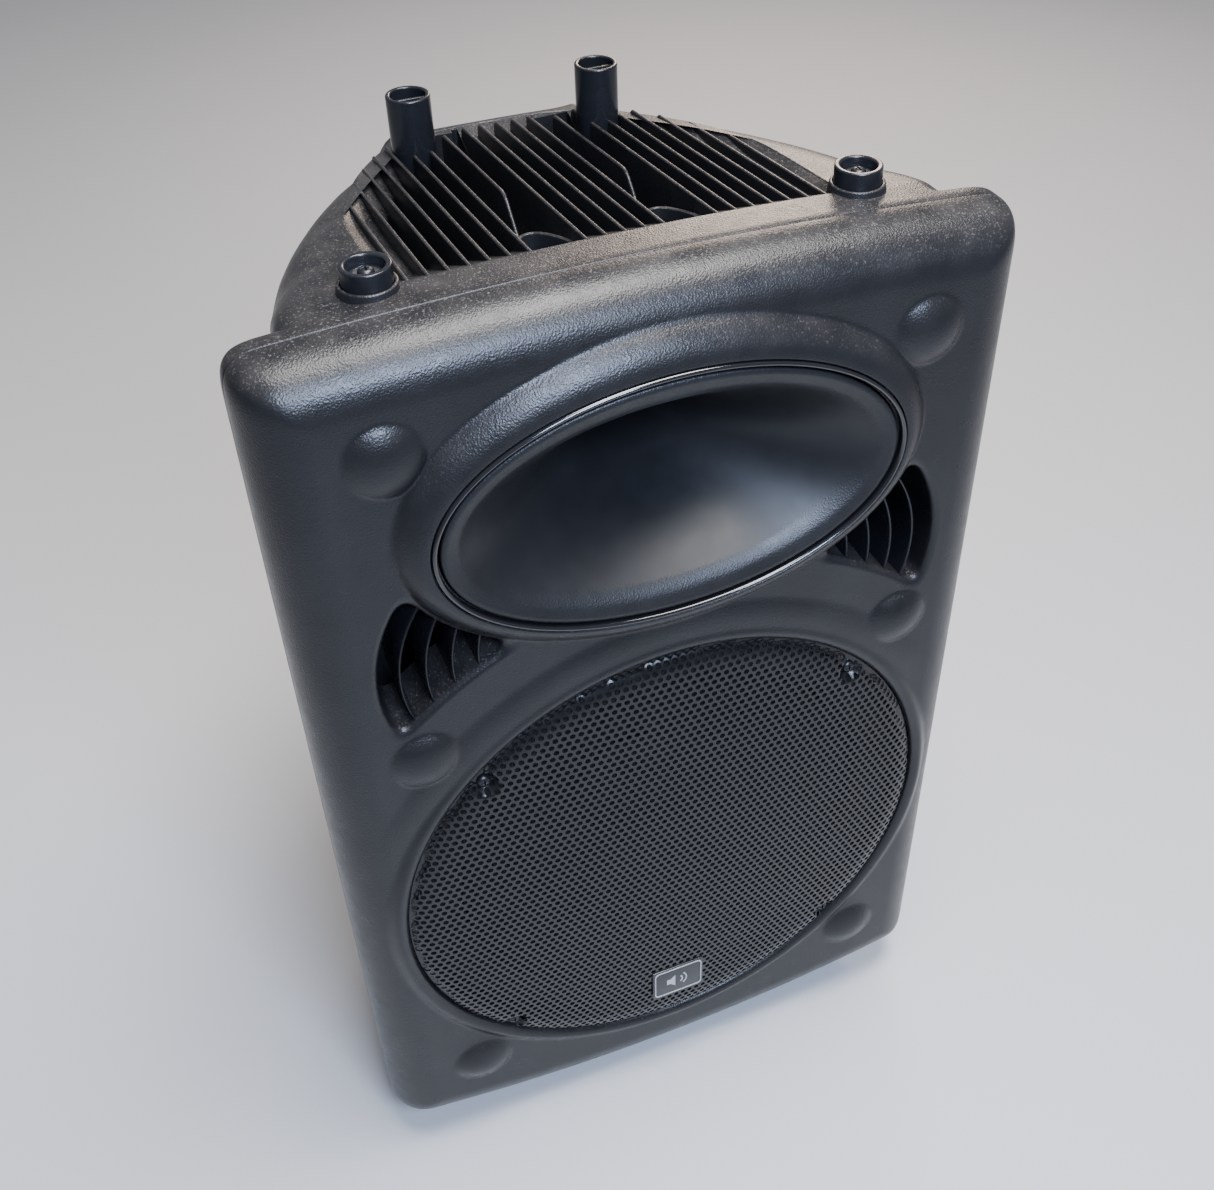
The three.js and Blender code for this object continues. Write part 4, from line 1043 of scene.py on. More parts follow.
# ---- flat plates ----
def rectangle(x, z, half_x, half_z, corner, per_corner=7):
    """A loop of points x, z as a function of how far it has grown."""
    def loop(grow):
        radius = max(corner + grow, 0.05)
        points = []
        for k, (sx, sz) in enumerate(((1, 1), (-1, 1), (-1, -1), (1, -1))):
            for t in np.linspace(0, math.pi / 2, per_corner):
                angle = k * math.pi / 2 + t
                points.append((x + sx * (half_x - corner) + radius * math.cos(angle),
                               z + sz * (half_z - corner) + radius * math.sin(angle)))
        return np.array(points)
    return loop


def disc(x, z, radius, count=48):
    angles = full_turn(count)
    return lambda grow: np.stack([x + (radius + grow) * np.cos(angles),
                                  z + (radius + grow) * np.sin(angles)], 1)


def inside_loops(points, loops):
    """True for the points that lie inside an odd number of the loops."""
    odd = np.zeros(len(points), bool)
    for loop in loops:
        for a, b in zip(loop, np.roll(loop, -1, 0)):
            if a[1] == b[1]:
                continue
            spans = (a[1] > points[:, 1]) != (b[1] > points[:, 1])
            at = a[0] + (points[:, 1] - a[1]) * (b[0] - a[0]) / (b[1] - a[1])
            odd ^= spans & (points[:, 0] < at)
    return odd


def flat_fill(loops, extra=()):
    """Points and triangles that fill the first loop, less the others."""
    points, edges = [], []
    for loop in loops:
        start = len(points)
        points.extend(Vector(map(float, point)) for point in loop)
        edges.extend((start + i, start + (i + 1) % len(loop)) for i in range(len(loop)))
    points.extend(Vector(map(float, point)) for point in extra)
    made, _, faces, *_ = delaunay_2d_cdt(points, edges, [], 0, 1e-6)
    made = np.array(made)
    centres = np.array([made[list(face)].mean(0) for face in faces])
    kept = inside_loops(centres, loops)
    return made, [tuple(face) for face, keep in zip(faces, kept) if keep]


def plate_form(outline, holes, inner, outer, edge=0.6):
    """A plate across y from inner to outer with a soft edge on its outer face, and holes."""
    form = Form()
    section = ((0, inner), (0, outer - edge), (0.3, outer - 0.3 * edge), (1, outer))
    for loop, sign in [(outline, -1)] + [(hole, 1) for hole in holes]:
        rows = []
        for share, y in section:
            flat = loop(sign * share * edge)
            rows.append(ring_points(flat[:, 0], flat[:, 1], y))
        form.add(np.concatenate(rows), grid_faces(len(rows), len(rows[0]), True))
    for share, y in (section[0], section[-1]):
        loops = [outline(-share * edge)] + [hole(share * edge) for hole in holes]
        flat, faces = flat_fill(loops)
        form.add([(x, y, z) for x, z in flat], faces)
    return form


# ---- rear panel ----
PANEL = {"inner": 335.3, "face": 338.3, "half": 74.0, "low": 150.0, "high": 470.0, "corner": 7.0}
KNOBS = {"knob_mic_level": -48, "knob_line_level": -16, "knob_bass": 16, "knob_treble": 48}
KNOB_Z = 424.0
SOCKETS = {"socket_mic_in": -46, "socket_line_in": -12, "socket_link_out": 24}
SOCKET_Z = 352.0
INLET = {"x": -28.0, "z": 314.5}
SWITCH = {"x": 40.0, "z": 314.5}
HEATSINK = {"half": 60.0, "low": 176.0, "high": 292.0, "base": 4.0, "fin": 18.4, "fins": 11}
PANEL_SCREWS = ((-69.4, 156), (69.4, 156), (-69.4, 464), (69.4, 464))
OFF_ANGLE = math.radians(8)
PAINT = 0.07                          # how far printed marks stand out of the panel
PAINT_SUNK = 0.2                      # how far their undersides lie inside it


def panel_form():
    middle = (PANEL["low"] + PANEL["high"]) / 2
    outline = rectangle(0, middle, PANEL["half"], PANEL["high"] - middle, PANEL["corner"])
    holes = [disc(x, KNOB_Z, 4.0) for x in KNOBS.values()]
    holes += [disc(x, SOCKET_Z, 12.2) for x in SOCKETS.values()]
    holes += [rectangle(INLET["x"], INLET["z"], 24, 13.5, 1)]
    holes += [rectangle(SWITCH["x"], SWITCH["z"], 10.5, 13.5, 1)]
    holes += [disc(x, z, 2.4, 24) for x, z in PANEL_SCREWS]
    return plate_form(outline, holes, PANEL["inner"], PANEL["face"], 0.8)


def tick(form, x, z, turn, start, end, wide=0.5):
    """A thin painted bar that points away from x, z; turn is measured from straight up."""
    along = np.array((math.sin(turn), math.cos(turn)))
    across = np.array((along[1], -along[0])) * wide / 2
    centre = np.array((x, z))
    corners = [centre + along * start - across, centre + along * start + across,
               centre + along * end + across, centre + along * end - across]
    points = [(px, y, pz) for y in (PANEL["face"] - PAINT_SUNK, PANEL["face"] + PAINT) for px, pz in corners]
    form.add(points, grid_faces(2, 4, True) + [(4, 5, 6, 7), (3, 2, 1, 0)])


def panel_marks_form():
    """Painted scale marks round the knobs and thin frames round the groups of sockets."""
    form = Form()
    for x in KNOBS.values():
        for i, turn in enumerate(np.linspace(-140, 140, 11)):
            end = 13.4 if i in (0, 5, 10) else 12.4
            tick(form, x, KNOB_Z, math.radians(turn), 10.6, end)
    line = 0.6
    for low, high, half in ((334.5, 369.5, 66.5), (406.0, 443.5, 66.5)):
        middle = (low + high) / 2
        outer = rectangle(0, middle, half, high - middle, 4)
        inner = rectangle(0, middle, half - line, high - middle - line, 3.4)
        form.take(plate_form(outer, [inner], PANEL["face"] - PAINT_SUNK, PANEL["face"] + PAINT, 0.05))
    return form


def heatsink_form():
    """A comb of fins on a base, drawn along z."""
    start = PANEL["face"] + 0.3
    half, fins, thick = HEATSINK["half"], HEATSINK["fins"], 1.25
    centres = np.linspace(-half + thick, half - thick, fins)
    outline = [(-half, 0.0)]
    for i, centre in enumerate(centres):
        for turn in np.linspace(math.pi, 0, 7):
            outline.append((centre + (thick - 0.25) * math.cos(turn),
                            HEATSINK["fin"] - thick + (thick - 0.1) * math.sin(turn)))
        outline.append((centre + thick, HEATSINK["base"] + 1.2))
        if i < fins - 1:
            outline.append((centre + thick + 0.8, HEATSINK["base"]))
            outline.append((centres[i + 1] - thick - 0.8, HEATSINK["base"]))
            outline.append((centres[i + 1] - thick, HEATSINK["base"] + 1.2))
    outline.append((half, 0.0))
    outline = np.array(outline)
    form = Form()
    rows = []
    for shrink, z in ((0.5, HEATSINK["low"]), (0, HEATSINK["low"] + 0.5),
                      (0, HEATSINK["high"] - 0.5), (0.5, HEATSINK["high"])):
        rows.append(np.stack([outline[:, 0] * (1 - shrink / half),
                              start + outline[:, 1] * (1 - shrink / HEATSINK["fin"]),
                              np.full(len(outline), z)], 1))
    form.add(np.concatenate(rows), grid_faces(4, len(outline), True))
    for row in (rows[0], rows[-1]):
        flat, faces = flat_fill([row[:, :2]])
        form.add([(x, y, row[0, 2]) for x, y in flat], faces)
    return form


def knob_form(x):
    """A fluted knob with a flat, slightly dished cap."""
    start = PANEL["face"]
    profile = soften(((3.0, -6), (3.0, 1.1), (8.6, 1.1), (8.6, 3.6), (7.7, 4.6), (7.2, 14.6), (6.2, 15.4),
                      (0.05, 14.9)), 0.6, 3)
    segments, flutes = 144, 18
    angles = full_turn(segments)
    rows = []
    for radius, along in profile:
        held = smooth_step((along - 3.8) / 1.2) * smooth_step((15.2 - along) / 1.5) * (radius > 6.6)
        wave = 1 - 0.055 * held * (0.5 + 0.5 * np.cos(flutes * angles)) ** 2
        rows.append(np.stack([x + radius * wave * np.cos(angles), np.full(segments, start + along),
                              KNOB_Z + radius * wave * np.sin(angles)], 1))
    form = Form()
    form.add(np.concatenate(rows), grid_faces(len(rows), segments, True))
    return form


def knob_mark_form(x):
    """The pale pointer, across the cap and a little way down the side."""
    start = PANEL["face"]
    low, high = x - 0.55, x + 0.55
    cap = rounded_box((low, start + 14.3, KNOB_Z + 1.5), (high, start + 15.75, KNOB_Z + 6.9), 0.25, 2)
    side = rounded_box((low, start + 8, KNOB_Z + 6.7), (high, start + 15.2, KNOB_Z + 7.75), 0.25, 2)
    return joined(cap, side)


def socket_form(x):
    start = PANEL["face"] + 0.3
    profile = soften(((11.8, -6), (11.8, 0), (13.9, 0), (13.9, 1.9), (12.6, 3.1), (8.9, 3.2), (7.8, 1.9),
                      (7.8, -19.9), (0.05, -19.9)), 0.6, 3)
    tab = rounded_box((x - 3.2, start + 2.2, SOCKET_Z + 9.2), (x + 3.2, start + 3.9, SOCKET_Z + 12.6), 0.6, 3)
    key = rounded_box((x - 1.1, start - 18, SOCKET_Z + 5.9), (x + 1.1, start + 0.8, SOCKET_Z + 8.2), 0.4, 2)
    return joined(lathe(profile, (x, start, SOCKET_Z), "Y", 72), tab, key)


def pins_form():
    """The contacts in the sockets and the mains inlet."""
    form = Form()
    start = PANEL["face"] + 0.3
    pin = soften(((1.15, -20), (1.15, -5), (0.05, -4.0)), 0.9, 4)
    for x in SOCKETS.values():
        for dx, dz in ((-3.6, 2), (3.6, 2), (0, -4)):
            form.take(lathe(pin, (x + dx, start, SOCKET_Z + dz), "Y", 20))
    for dx, dz in ((-7, -2), (0, 2.5), (7, -2)):
        x, z = INLET["x"] + dx, INLET["z"] + dz
        low = (x - 1, PANEL["face"] - 18, z - 2.3)
        high = (x + 1, PANEL["face"] - 4, z + 2.3)
        form.take(rounded_box(low, high, 0.4, 2))
    return form


def inlet_mouth(grow):
    """A rectangle with two cut corners at its top, the mains inlet's usual shape."""
    wide, tall, cut_back = 14 + grow, 9 + grow, 4.6
    shape = ((-wide, -tall), (wide, -tall), (wide, tall - cut_back), (wide - cut_back, tall),
             (-wide + cut_back, tall), (-wide, tall - cut_back))
    return np.array([(INLET["x"] + x, INLET["z"] + z) for x, z in soften(shape, 1.0, 3, closed=True)])


def well_form(loop, deep):
    """The walls and floor of a recess that starts behind a plate's face."""
    flat = loop(0)
    face = PANEL["face"]
    rows = [ring_points(flat[:, 0], flat[:, 1], y) for y in (face + 0.9, face - deep)]
    form = Form()
    form.add(np.concatenate(rows), grid_faces(2, len(flat), True))
    filled, faces = flat_fill([flat])
    form.add([(x, face - deep, z) for x, z in filled], faces)
    return form


def inlet_form():
    face = PANEL["face"]
    outline = rectangle(INLET["x"], INLET["z"], 27, 16, 3)
    flange = plate_form(outline, [inlet_mouth], face + 0.3, face + 2.5, 0.6)
    return joined(flange, well_form(inlet_mouth, 18))


def switch_form():
    face = PANEL["face"]
    outline = rectangle(SWITCH["x"], SWITCH["z"], 13, 16, 2)
    mouth = rectangle(SWITCH["x"], SWITCH["z"], 7.5, 11, 1)
    flange = plate_form(outline, [mouth], face + 0.3, face + 2.5, 0.6)
    return joined(flange, well_form(mouth, 12))


def rocker_place(x, y, z):
    """A point of the rocker's own frame put in place, tipped to its switched-off side."""
    turned_y = y * math.cos(OFF_ANGLE) - z * math.sin(OFF_ANGLE)
    turned_z = y * math.sin(OFF_ANGLE) + z * math.cos(OFF_ANGLE)
    return SWITCH["x"] + x, PANEL["face"] - 3 + turned_y, SWITCH["z"] + turned_z


def rocker_form():
    outline = ((-6, -3), (0, -5), (6, -3), (10.1, 0.6), (8.6, 5.3), (0, 3.2), (-8.6, 5.3), (-10.1, 0.6))
    shape = np.array(soften(outline, 2.6, 4, closed=True))
    form = Form()
    rows = []
    for x, scale in ((-6.9, 0.93), (-6.7, 0.975), (-6.2, 1), (6.2, 1), (6.7, 0.975), (6.9, 0.93)):
        rows.append([rocker_place(x, y * scale, z * scale) for z, y in shape])
    form.add(sum(rows, []), grid_faces(len(rows), len(shape), True))
    for row in (rows[0], rows[-1]):
        flat = np.array(row)
        filled, faces = flat_fill([flat[:, 1:]])
        form.add([(flat[0, 0], y, z) for y, z in filled], faces)
    return form


def rocker_marks_form():
    """A bar for on and a ring for off, on the two slopes of the rocker."""
    form = Form()
    slope = math.atan2(2.1, 8.6)

    def point(u, v, lift, side):
        z = side * (4.9 + v * math.cos(slope)) - side * lift * math.sin(slope)
        y = 3.2 + (4.9 + v) * math.tan(slope) + lift
        return rocker_place(u, y, z)

    corners = ((-0.35, -1.7), (0.35, -1.7), (0.35, 1.7), (-0.35, 1.7))
    form.add([point(u, v, lift, 1) for lift in (-0.2, 0.12) for u, v in corners],
             grid_faces(2, 4, True) + [(4, 5, 6, 7)])
    angles = full_turn(28)
    rows = []
    for radius, lift in ((1.25, -0.2), (1.25, 0.12), (1.75, 0.12), (1.75, -0.2)):
        rows += [point(radius * math.cos(a), radius * math.sin(a), lift, -1) for a in angles]
    form.add(rows, grid_faces(4, len(angles), True))
    return form


def underside_form(plan):
    """The middle of the rear moulding's underside, round the pole socket."""
    inset = plan + plan_normals(plan) * FOOT_ROLL
    xs, ys = np.arange(-190, 191, 12.0), np.arange(56, 330, 12.0)
    grid = np.array([(x, y) for x in xs for y in ys])
    loops = [inset, disc(0, POLE_Y, POLE_HOLE)(0)]
    extra = grid[inside_loops(grid, loops)]
    flat, faces = flat_fill(loops, extra)
    form = Form()
    form.add(np.stack([flat[:, 0], flat[:, 1], floor_z(flat[:, 0], flat[:, 1])], 1), faces)
    return form


# ---- materials ----
class Nodes:
    """Short calls for adding shader nodes."""

    def __init__(self, name):
        self.material = bpy.data.materials.new(name)
        self.material.use_nodes = True
        self.tree = self.material.node_tree
        self.shader = self.tree.nodes["Principled BSDF"]
        coordinates = self.add("ShaderNodeTexCoord")
        self.place = coordinates.outputs["Object"]

    def add(self, kind, **values):
        node = self.tree.nodes.new(kind)
        for key, value in values.items():
            setattr(node, key, value)
        return node

    def link(self, source, target):
        self.tree.links.new(source, target)

    def noise(self, size, detail=3.0, rough=0.55, place=None):
        node = self.add("ShaderNodeTexNoise")
        node.inputs["Scale"].default_value = 1 / (size * MM)
        node.inputs["Detail"].default_value = detail
        node.inputs["Roughness"].default_value = rough
        self.link(place or self.place, node.inputs["Vector"])
        return node.outputs["Fac"]

    def cells(self, size, feature="SMOOTH_F1", place=None):
        node = self.add("ShaderNodeTexVoronoi", feature=feature)
        node.inputs["Scale"].default_value = 1 / (size * MM)
        self.link(place or self.place, node.inputs["Vector"])
        return node.outputs["Distance"]

    def stretched(self, scale):
        node = self.add("ShaderNodeMapping")
        node.inputs["Scale"].default_value = scale
        self.link(self.place, node.inputs["Vector"])
        return node.outputs["Vector"]

    def spread(self, value, low, high, start, end):
        """Maps low..high of a value to start..end."""
        node = self.add("ShaderNodeMapRange")
        for socket, number in (("From Min", low), ("From Max", high), ("To Min", start), ("To Max", end)):
            node.inputs[socket].default_value = number
        self.link(value, node.inputs["Value"])
        return node.outputs["Result"]

    def sum(self, a, b, kind="ADD"):
        node = self.add("ShaderNodeMath", operation=kind)
        for socket, value in zip(node.inputs, (a, b)):
            if isinstance(value, (int, float)):
                socket.default_value = value
            else:
                self.link(value, socket)
        return node.outputs["Value"]

    def blend(self, factor, first, second):
        """Mixes two colours, each given as a tuple or a socket."""
        node = self.add("ShaderNodeMix", data_type="RGBA")
        self.link(factor, node.inputs["Factor"])
        for socket, value in ((node.inputs[6], first), (node.inputs[7], second)):
            if isinstance(value, tuple):
                socket.default_value = (*value, 1.0)
            else:
                self.link(value, socket)
        return node.outputs[2]

    def bump(self, height, depth, strength=None, below=None):
        node = self.add("ShaderNodeBump")
        node.inputs["Distance"].default_value = depth * MM
        self.link(height, node.inputs["Height"])
        if strength is not None:
            self.link(strength, node.inputs["Strength"])
        if below is not None:
            self.link(below, node.inputs["Normal"])
        return node.outputs["Normal"]


def upward(nodes):
    """One on faces that look up, nought on the rest."""
    geometry = nodes.add("ShaderNodeNewGeometry")
    parts = nodes.add("ShaderNodeSeparateXYZ")
    nodes.link(geometry.outputs["Normal"], parts.inputs["Vector"])
    return nodes.spread(parts.outputs["Z"], 0.35, 0.95, 0.0, 1.0)


def along_y(nodes, start, end):
    """Nought before start and one after end, both in millimetres back from the face."""
    parts = nodes.add("ShaderNodeSeparateXYZ")
    nodes.link(nodes.place, parts.inputs["Vector"])
    return nodes.spread(parts.outputs["Y"], (start + FACE) * MM, (end + FACE) * MM, 0.0, 1.0)


def finish(name, colour, rough, layers=(), metal=0.0, tone=0.18, patch=45.0, gloss_patch=12.0,
           rough_swing=0.06, dust=0.0, coat=0.0, fade=None, sheen=0.5):
    """A procedural material.

    layers are (kind, size, depth) bumps in millimetres; dust is the share of pale specks on
    faces that look up; fade is a pair of distances back from the face between which the bumps
    die away.
    """
    nodes = Nodes(name)
    shader = nodes.shader
    mottle = nodes.spread(nodes.noise(patch), 0.3, 0.7, 0.0, 1.0)
    dark = tuple(value * (1 - tone) for value in colour)
    light = tuple(value * (1 + tone) for value in colour)
    shade = nodes.blend(mottle, dark, light)
    gloss = nodes.spread(nodes.noise(gloss_patch, 4.0, 0.6), 0.25, 0.75,
                         rough - rough_swing, rough + rough_swing)
    if dust:
        up = upward(nodes)
        specks = nodes.spread(nodes.noise(1.6, 4.0, 0.7), 0.56, 0.7, 0.0, 1.0)
        film = nodes.spread(nodes.noise(22.0, 3.0), 0.35, 0.75, 0.02, 0.22)
        amount = nodes.sum(nodes.sum(specks, film, "ADD"), up, "MULTIPLY")
        amount = nodes.sum(amount, dust, "MULTIPLY")
        shade = nodes.blend(amount, shade, DUST)
        gloss = nodes.sum(gloss, nodes.sum(amount, 0.4, "MULTIPLY"), "ADD")
    nodes.link(shade, shader.inputs["Base Color"])
    nodes.link(gloss, shader.inputs["Roughness"])
    shader.inputs["Metallic"].default_value = metal
    shader.inputs["Specular IOR Level"].default_value = sheen
    shader.inputs["Coat Weight"].default_value = coat
    shader.inputs["Coat Roughness"].default_value = 0.1
    strength = None
    if fade:
        strength = nodes.sum(1.0, along_y(nodes, *fade), "SUBTRACT")
    normal = None
    for kind, size, depth in layers:
        if kind == "cells":
            height = nodes.cells(size)
        elif kind == "brushed_z":
            height = nodes.noise(size, 2.0, 0.5, nodes.stretched((1, 1, 0.02)))
        elif kind == "rings":
            height = nodes.noise(size, 2.0, 0.5, nodes.stretched((0.05, 1, 0.05)))
        else:
            height = nodes.noise(size, 4.0, 0.6)
        normal = nodes.bump(height, depth, strength, normal)
    if normal is not None:
        nodes.link(normal, shader.inputs["Normal"])
    return nodes.material


DUST = (0.33, 0.29, 0.26)
LEATHER = (("noise", 2.4, 0.06), ("cells", 1.0, 0.17), ("noise", 0.5, 0.05))
SATIN = (("noise", 30.0, 0.12), ("noise", 0.5, 0.008))
BLACK = (0.0085, 0.0088, 0.0102)
looks = {
    "shell": finish("shell", BLACK, 0.31, LEATHER, dust=0.30, sheen=0.30),
    "horn": finish("horn", BLACK, 0.40, LEATHER, fade=(-9.5, 0), rough_swing=0.04, sheen=0.32),
    "gloss_trim": finish("gloss_trim", (0.006, 0.006, 0.0075), 0.10, (("noise", 14.0, 0.02),),
                         rough_swing=0.03, coat=0.5),
    "post": finish("post", (0.0065, 0.0072, 0.0095), 0.25, SATIN, rough_swing=0.06, dust=0.05, sheen=0.38),
    "grille_steel": finish("grille_steel", (0.0055, 0.0058, 0.0068), 0.27, (("noise", 0.7, 0.03),),
                           dust=0.03, sheen=0.36),
    "badge": finish("badge", (0.016, 0.017, 0.020), 0.34, (("noise", 0.5, 0.01),)),
    "screw_steel": finish("screw_steel", (0.035, 0.036, 0.040), 0.36,
                          (("rings", 0.8, 0.02), ("noise", 0.6, 0.02)), metal=0.85),
    "rubber": finish("rubber", (0.012, 0.012, 0.012), 0.72, (("noise", 0.8, 0.04),)),
    "steel": finish("steel", (0.36, 0.36, 0.37), 0.34, (("noise", 0.9, 0.02),), metal=1.0, tone=0.10),
    "ferrite": finish("ferrite", (0.035, 0.034, 0.034), 0.6, (("noise", 1.2, 0.08),), tone=0.3),
    "paper_cone": finish("paper_cone", (0.010, 0.010, 0.0105), 0.8,
                         (("noise", 2.2, 0.15), ("noise", 0.5, 0.06))),
    "spider_cloth": finish("spider_cloth", (0.30, 0.19, 0.09), 0.85, (("cells", 0.8, 0.12),)),
    "panel_paint": finish("panel_paint", (0.016, 0.017, 0.019), 0.46,
                          (("noise", 0.9, 0.06), ("cells", 0.7, 0.05))),
    "heatsink_aluminium": finish("heatsink_aluminium", (0.022, 0.022, 0.024), 0.38,
                                 (("brushed_z", 0.5, 0.03),), metal=0.5, dust=0.08),
    "knob": finish("knob", (0.012, 0.012, 0.013), 0.42, (("noise", 0.5, 0.02),), dust=0.05),
    "circuit_board": finish("circuit_board", (0.02, 0.10, 0.04), 0.35, (("cells", 2.5, 0.05),), tone=0.3),
    "copper_winding": finish("copper_winding", (0.52, 0.25, 0.09), 0.35, (("rings", 0.6, 0.1),), metal=0.8),
    "pale_paint": finish("pale_paint", (0.42, 0.43, 0.44), 0.5, (("noise", 0.5, 0.02),), tone=0.08),
    "contact": finish("contact", (0.62, 0.60, 0.54), 0.25, (("noise", 0.7, 0.01),), metal=1.0, tone=0.08),
}

# The finish of each CAD node that stays in sight; the basket is painted black.
CAD_LOOKS = {
    "hf_front_plate": "steel", "hf_magnet": "ferrite", "hf_rear_cover": "steel",
    "hf_diaphragm": "copper_winding", "woofer_basket": "panel_paint", "woofer_top_plate": "steel",
    "woofer_magnet": "ferrite", "woofer_back_plate": "steel", "woofer_voice_coil": "copper_winding",
    "woofer_cone": "paper_cone", "woofer_surround": "rubber", "woofer_spider": "spider_cloth",
    "woofer_dust_cap": "paper_cone", "amp_board": "circuit_board", "mains_transformer": "copper_winding",
}
for node, look_name in CAD_LOOKS.items():
    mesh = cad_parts[node].data
    for i in range(len(mesh.materials)):
        mesh.materials[i] = looks[look_name]
    mesh.shade_smooth()
    mesh.set_sharp_from_angle(angle=math.radians(35))


# ---- assembly ----
FEET = {"front_left": (-140, 66), "front_right": (140, 66), "rear_left": (-70, 296), "rear_right": (70, 296)}
SHELL_SCREWS = {"x": 208, "y": 50.3, "z": (110, 330, 600)}


def put(name, form, slot_name, replaced=(), body="cabinet", look=None, smooth=40.0):
    return make_piece(name, form, looks[look or slot_name], body, replaced, smooth)


grid = face_grid()
plan = plan_loop()
put("front_moulding", front_form(grid), "shell", ["front_shell"], smooth=50)
put("vent_fins", fin_form(), "shell", look="post")
put("rear_moulding", joined(rear_body_form(), underside_form(plan)), "shell", ["rear_shell"])
put("rear_flange", flange_form(grid), "shell")
put("top_strip", top_form(), "shell", smooth=30)
put("cooling_ribs", rib_form(), "shell")
put("rib_scoops", scoop_form(), "shell")
put("post_bosses", boss_form(), "shell")
put("horn_bell", horn_form(), "horn", ["horn_flare"], smooth=50)
put("horn_bead", bead_form(), "gloss_trim", ["horn_trim_ring"])
put("grille_sheet", grille_form(), "grille_steel", ["woofer_grille"], smooth=50)
plate, sign = badge_forms()
put("badge_plate", plate, "badge", ["grille_badge"])
put("badge_sign", sign, "badge", look="pale_paint")
for i, (x, z) in enumerate(grille_screw_places()):
    put(f"grille_fixing_{i + 1}", screw_form((x, -GAP, z), (0, -1, 0), 4.6), "screw_steel",
        [f"grille_screw_{i + 1}"])
for name, side in (("left", -1), ("right", 1)):
    x, y = POSTS["front"]
    put(f"front_post_{name}", front_post_form(side), "post", [f"post_front_{name}"])
    put(f"front_washer_{name}", washer_form((side * x, y, 713.3)), "steel", [f"post_washer_{name}"])
    put(f"front_post_screw_{name}", screw_form((side * x, y, 714.8), (0, 0, 1), 4.6), "screw_steel",
        [f"post_screw_{name}"])
    put(f"rear_post_{name}", rear_post_forms(side), "post", [f"post_rear_{name}"])
for place, (x, y) in FEET.items():
    put(f"rubber_{place}", foot_form(x, y), "rubber", [f"foot_{place}"])
put("pole_cup", pole_socket_form(), "post", ["pole_socket"])
for i, (x, z) in enumerate([(side * SHELL_SCREWS["x"], z) for z in SHELL_SCREWS["z"] for side in (-1, 1)]):
    put(f"shell_fixing_{i + 1}", screw_form((x, SHELL_SCREWS["y"], z), (0, 1, 0), 4.8), "screw_steel",
        [f"shell_screw_{i + 1}"])
put("back_panel", panel_form(), "panel_paint", ["rear_panel"])
put("panel_marks", panel_marks_form(), "panel_paint", look="pale_paint")
put("heatsink_fins", heatsink_form(), "heatsink_aluminium", ["heatsink"])
for node, x in KNOBS.items():
    put(f"{node}_cap", knob_form(x), "knob", [node], body=node)
    put(f"{node}_pointer", knob_mark_form(x), "knob", body=node, look="pale_paint")
for node, x in SOCKETS.items():
    put(f"{node}_shell", socket_form(x), "post", [node])
put("contacts", pins_form(), "steel", look="contact")
put("inlet_shell", inlet_form(), "post", ["mains_inlet"])
put("switch_shell", switch_form(), "post", ["power_switch"])
put("rocker_cap", rocker_form(), "knob", ["power_rocker"], body="rocker")
put("rocker_signs", rocker_marks_form(), "knob", body="rocker", look="pale_paint")
for i, (x, z) in enumerate(PANEL_SCREWS):
    put(f"panel_fixing_{i + 1}", screw_form((x, PANEL["face"] + GAP, z), (0, 1, 0), 4.0), "screw_steel",
        [f"panel_screw_{i + 1}"])


# ---- floor, lights and camera ----
CENTRE = (0.0, 0.0, 0.36)
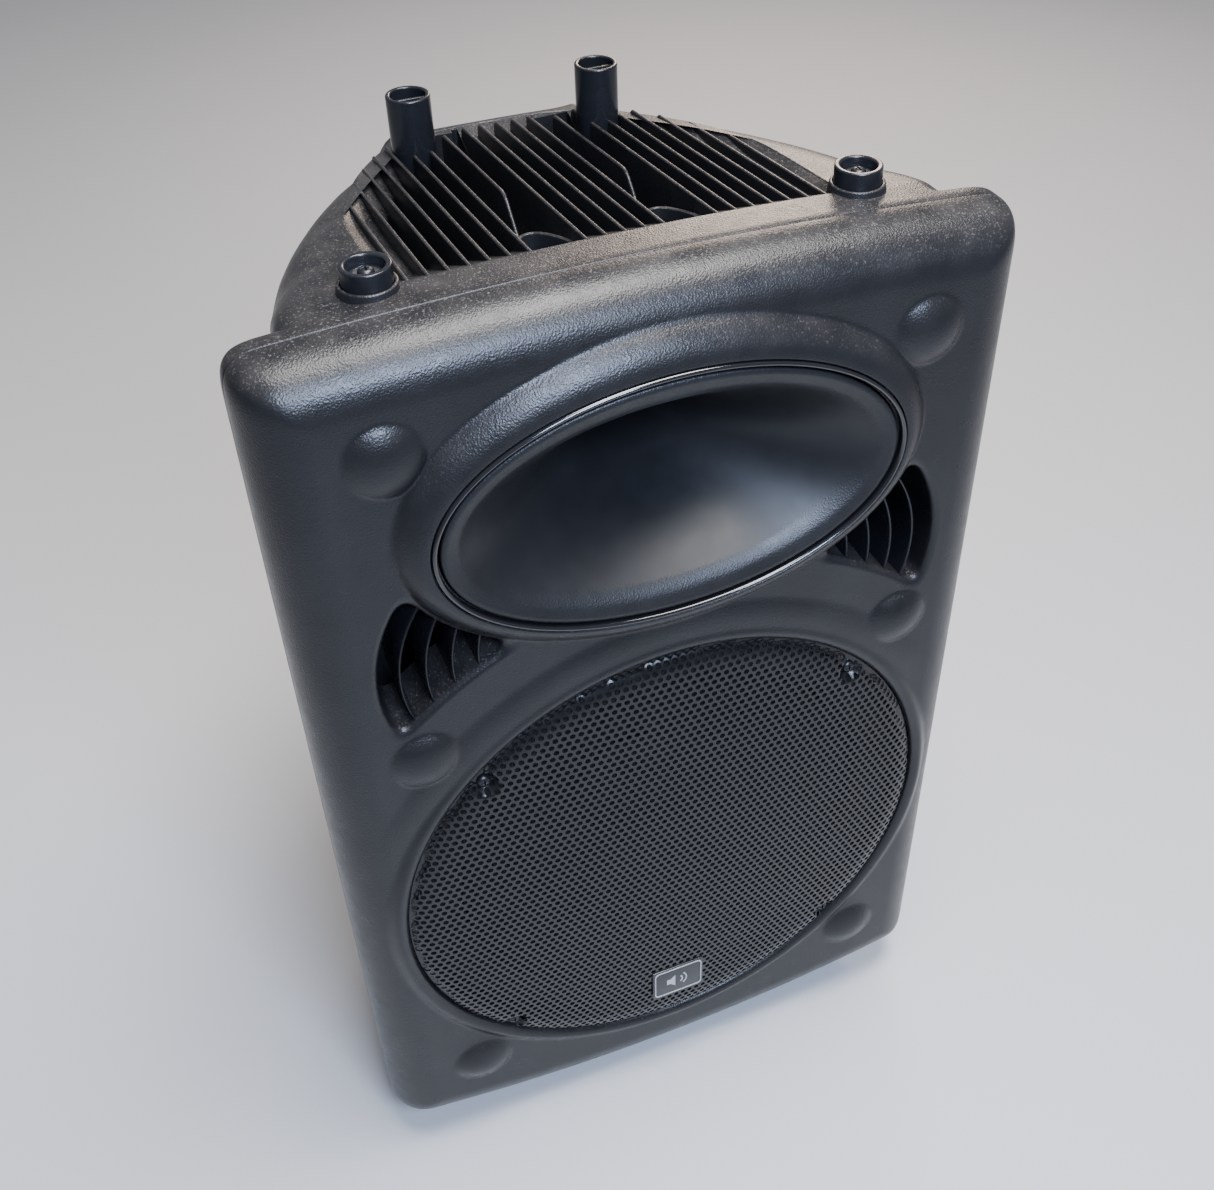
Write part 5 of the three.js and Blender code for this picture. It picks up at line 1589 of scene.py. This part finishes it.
# name, place, size, watts and colour
LIGHTS = (
    ("overhead", (0.25, -0.35, 2.2), (1.1, 0.7), 84.0, (1.0, 0.97, 0.94)),
    ("behind_right", (1.2, 1.9, 1.5), (0.7, 0.7), 30.0, (1.0, 0.80, 0.64)),
    ("front_high", (-0.05, -1.2, 1.45), (0.55, 0.4), 44.0, (0.60, 0.73, 1.0)),
)
CAMERA = {"place": (-0.26599, -0.77464, 1.06972), "turn": -22.88, "down": 41.67, "roll": -0.55,
          "lens": 42.985, "sensor": 36.0, "shift": (-0.0401, 0.0187)}


def make_floor():
    size, steps = 6.0, 24
    line = np.linspace(-size, size, steps)
    grid_x, grid_y = np.meshgrid(line, line)
    mesh = bpy.data.meshes.new("floor")
    points = np.stack([grid_x, grid_y, np.zeros(grid_x.shape)], 2).reshape(-1, 3)
    mesh.from_pydata(points.tolist(), [], grid_faces(steps, steps))
    floor = bpy.data.objects.new("floor", mesh)
    bpy.context.scene.collection.objects.link(floor)
    floor.data.materials.append(finish("floor_paint", (0.52, 0.525, 0.535), 0.6, (("noise", 3.0, 0.05),),
                                       tone=0.01, patch=900.0, gloss_patch=200.0))


def make_light(name, place, size, energy, colour):
    light = bpy.data.lights.new(name, "AREA")
    light.shape = "RECTANGLE"
    light.size, light.size_y = size
    light.energy = energy
    light.color = colour
    lamp = bpy.data.objects.new(name, light)
    lamp.location = place
    lamp.rotation_euler = (Vector(CENTRE) - Vector(place)).to_track_quat("-Z", "Y").to_euler()
    bpy.context.scene.collection.objects.link(lamp)


def make_world():
    world = bpy.data.worlds.new("studio")
    world.use_nodes = True
    background = world.node_tree.nodes["Background"]
    background.inputs["Color"].default_value = (0.86, 0.90, 1.0, 1.0)
    background.inputs["Strength"].default_value = 0.30
    bpy.context.scene.world = world


def make_camera():
    data = bpy.data.cameras.new("camera")
    data.sensor_width = CAMERA["sensor"]
    data.lens = CAMERA["lens"]
    data.shift_x, data.shift_y = CAMERA["shift"]
    camera = bpy.data.objects.new("camera", data)
    camera.matrix_world = (
        Matrix.Translation(CAMERA["place"])
        @ Matrix.Rotation(math.radians(CAMERA["turn"]), 4, "Z")
        @ Matrix.Rotation(math.radians(90 - CAMERA["down"]), 4, "X")
        @ Matrix.Rotation(math.radians(CAMERA["roll"]), 4, "Z"))
    bpy.context.scene.collection.objects.link(camera)
    bpy.context.scene.camera = camera


make_floor()
make_world()
for light in LIGHTS:
    make_light(*light)
make_camera()
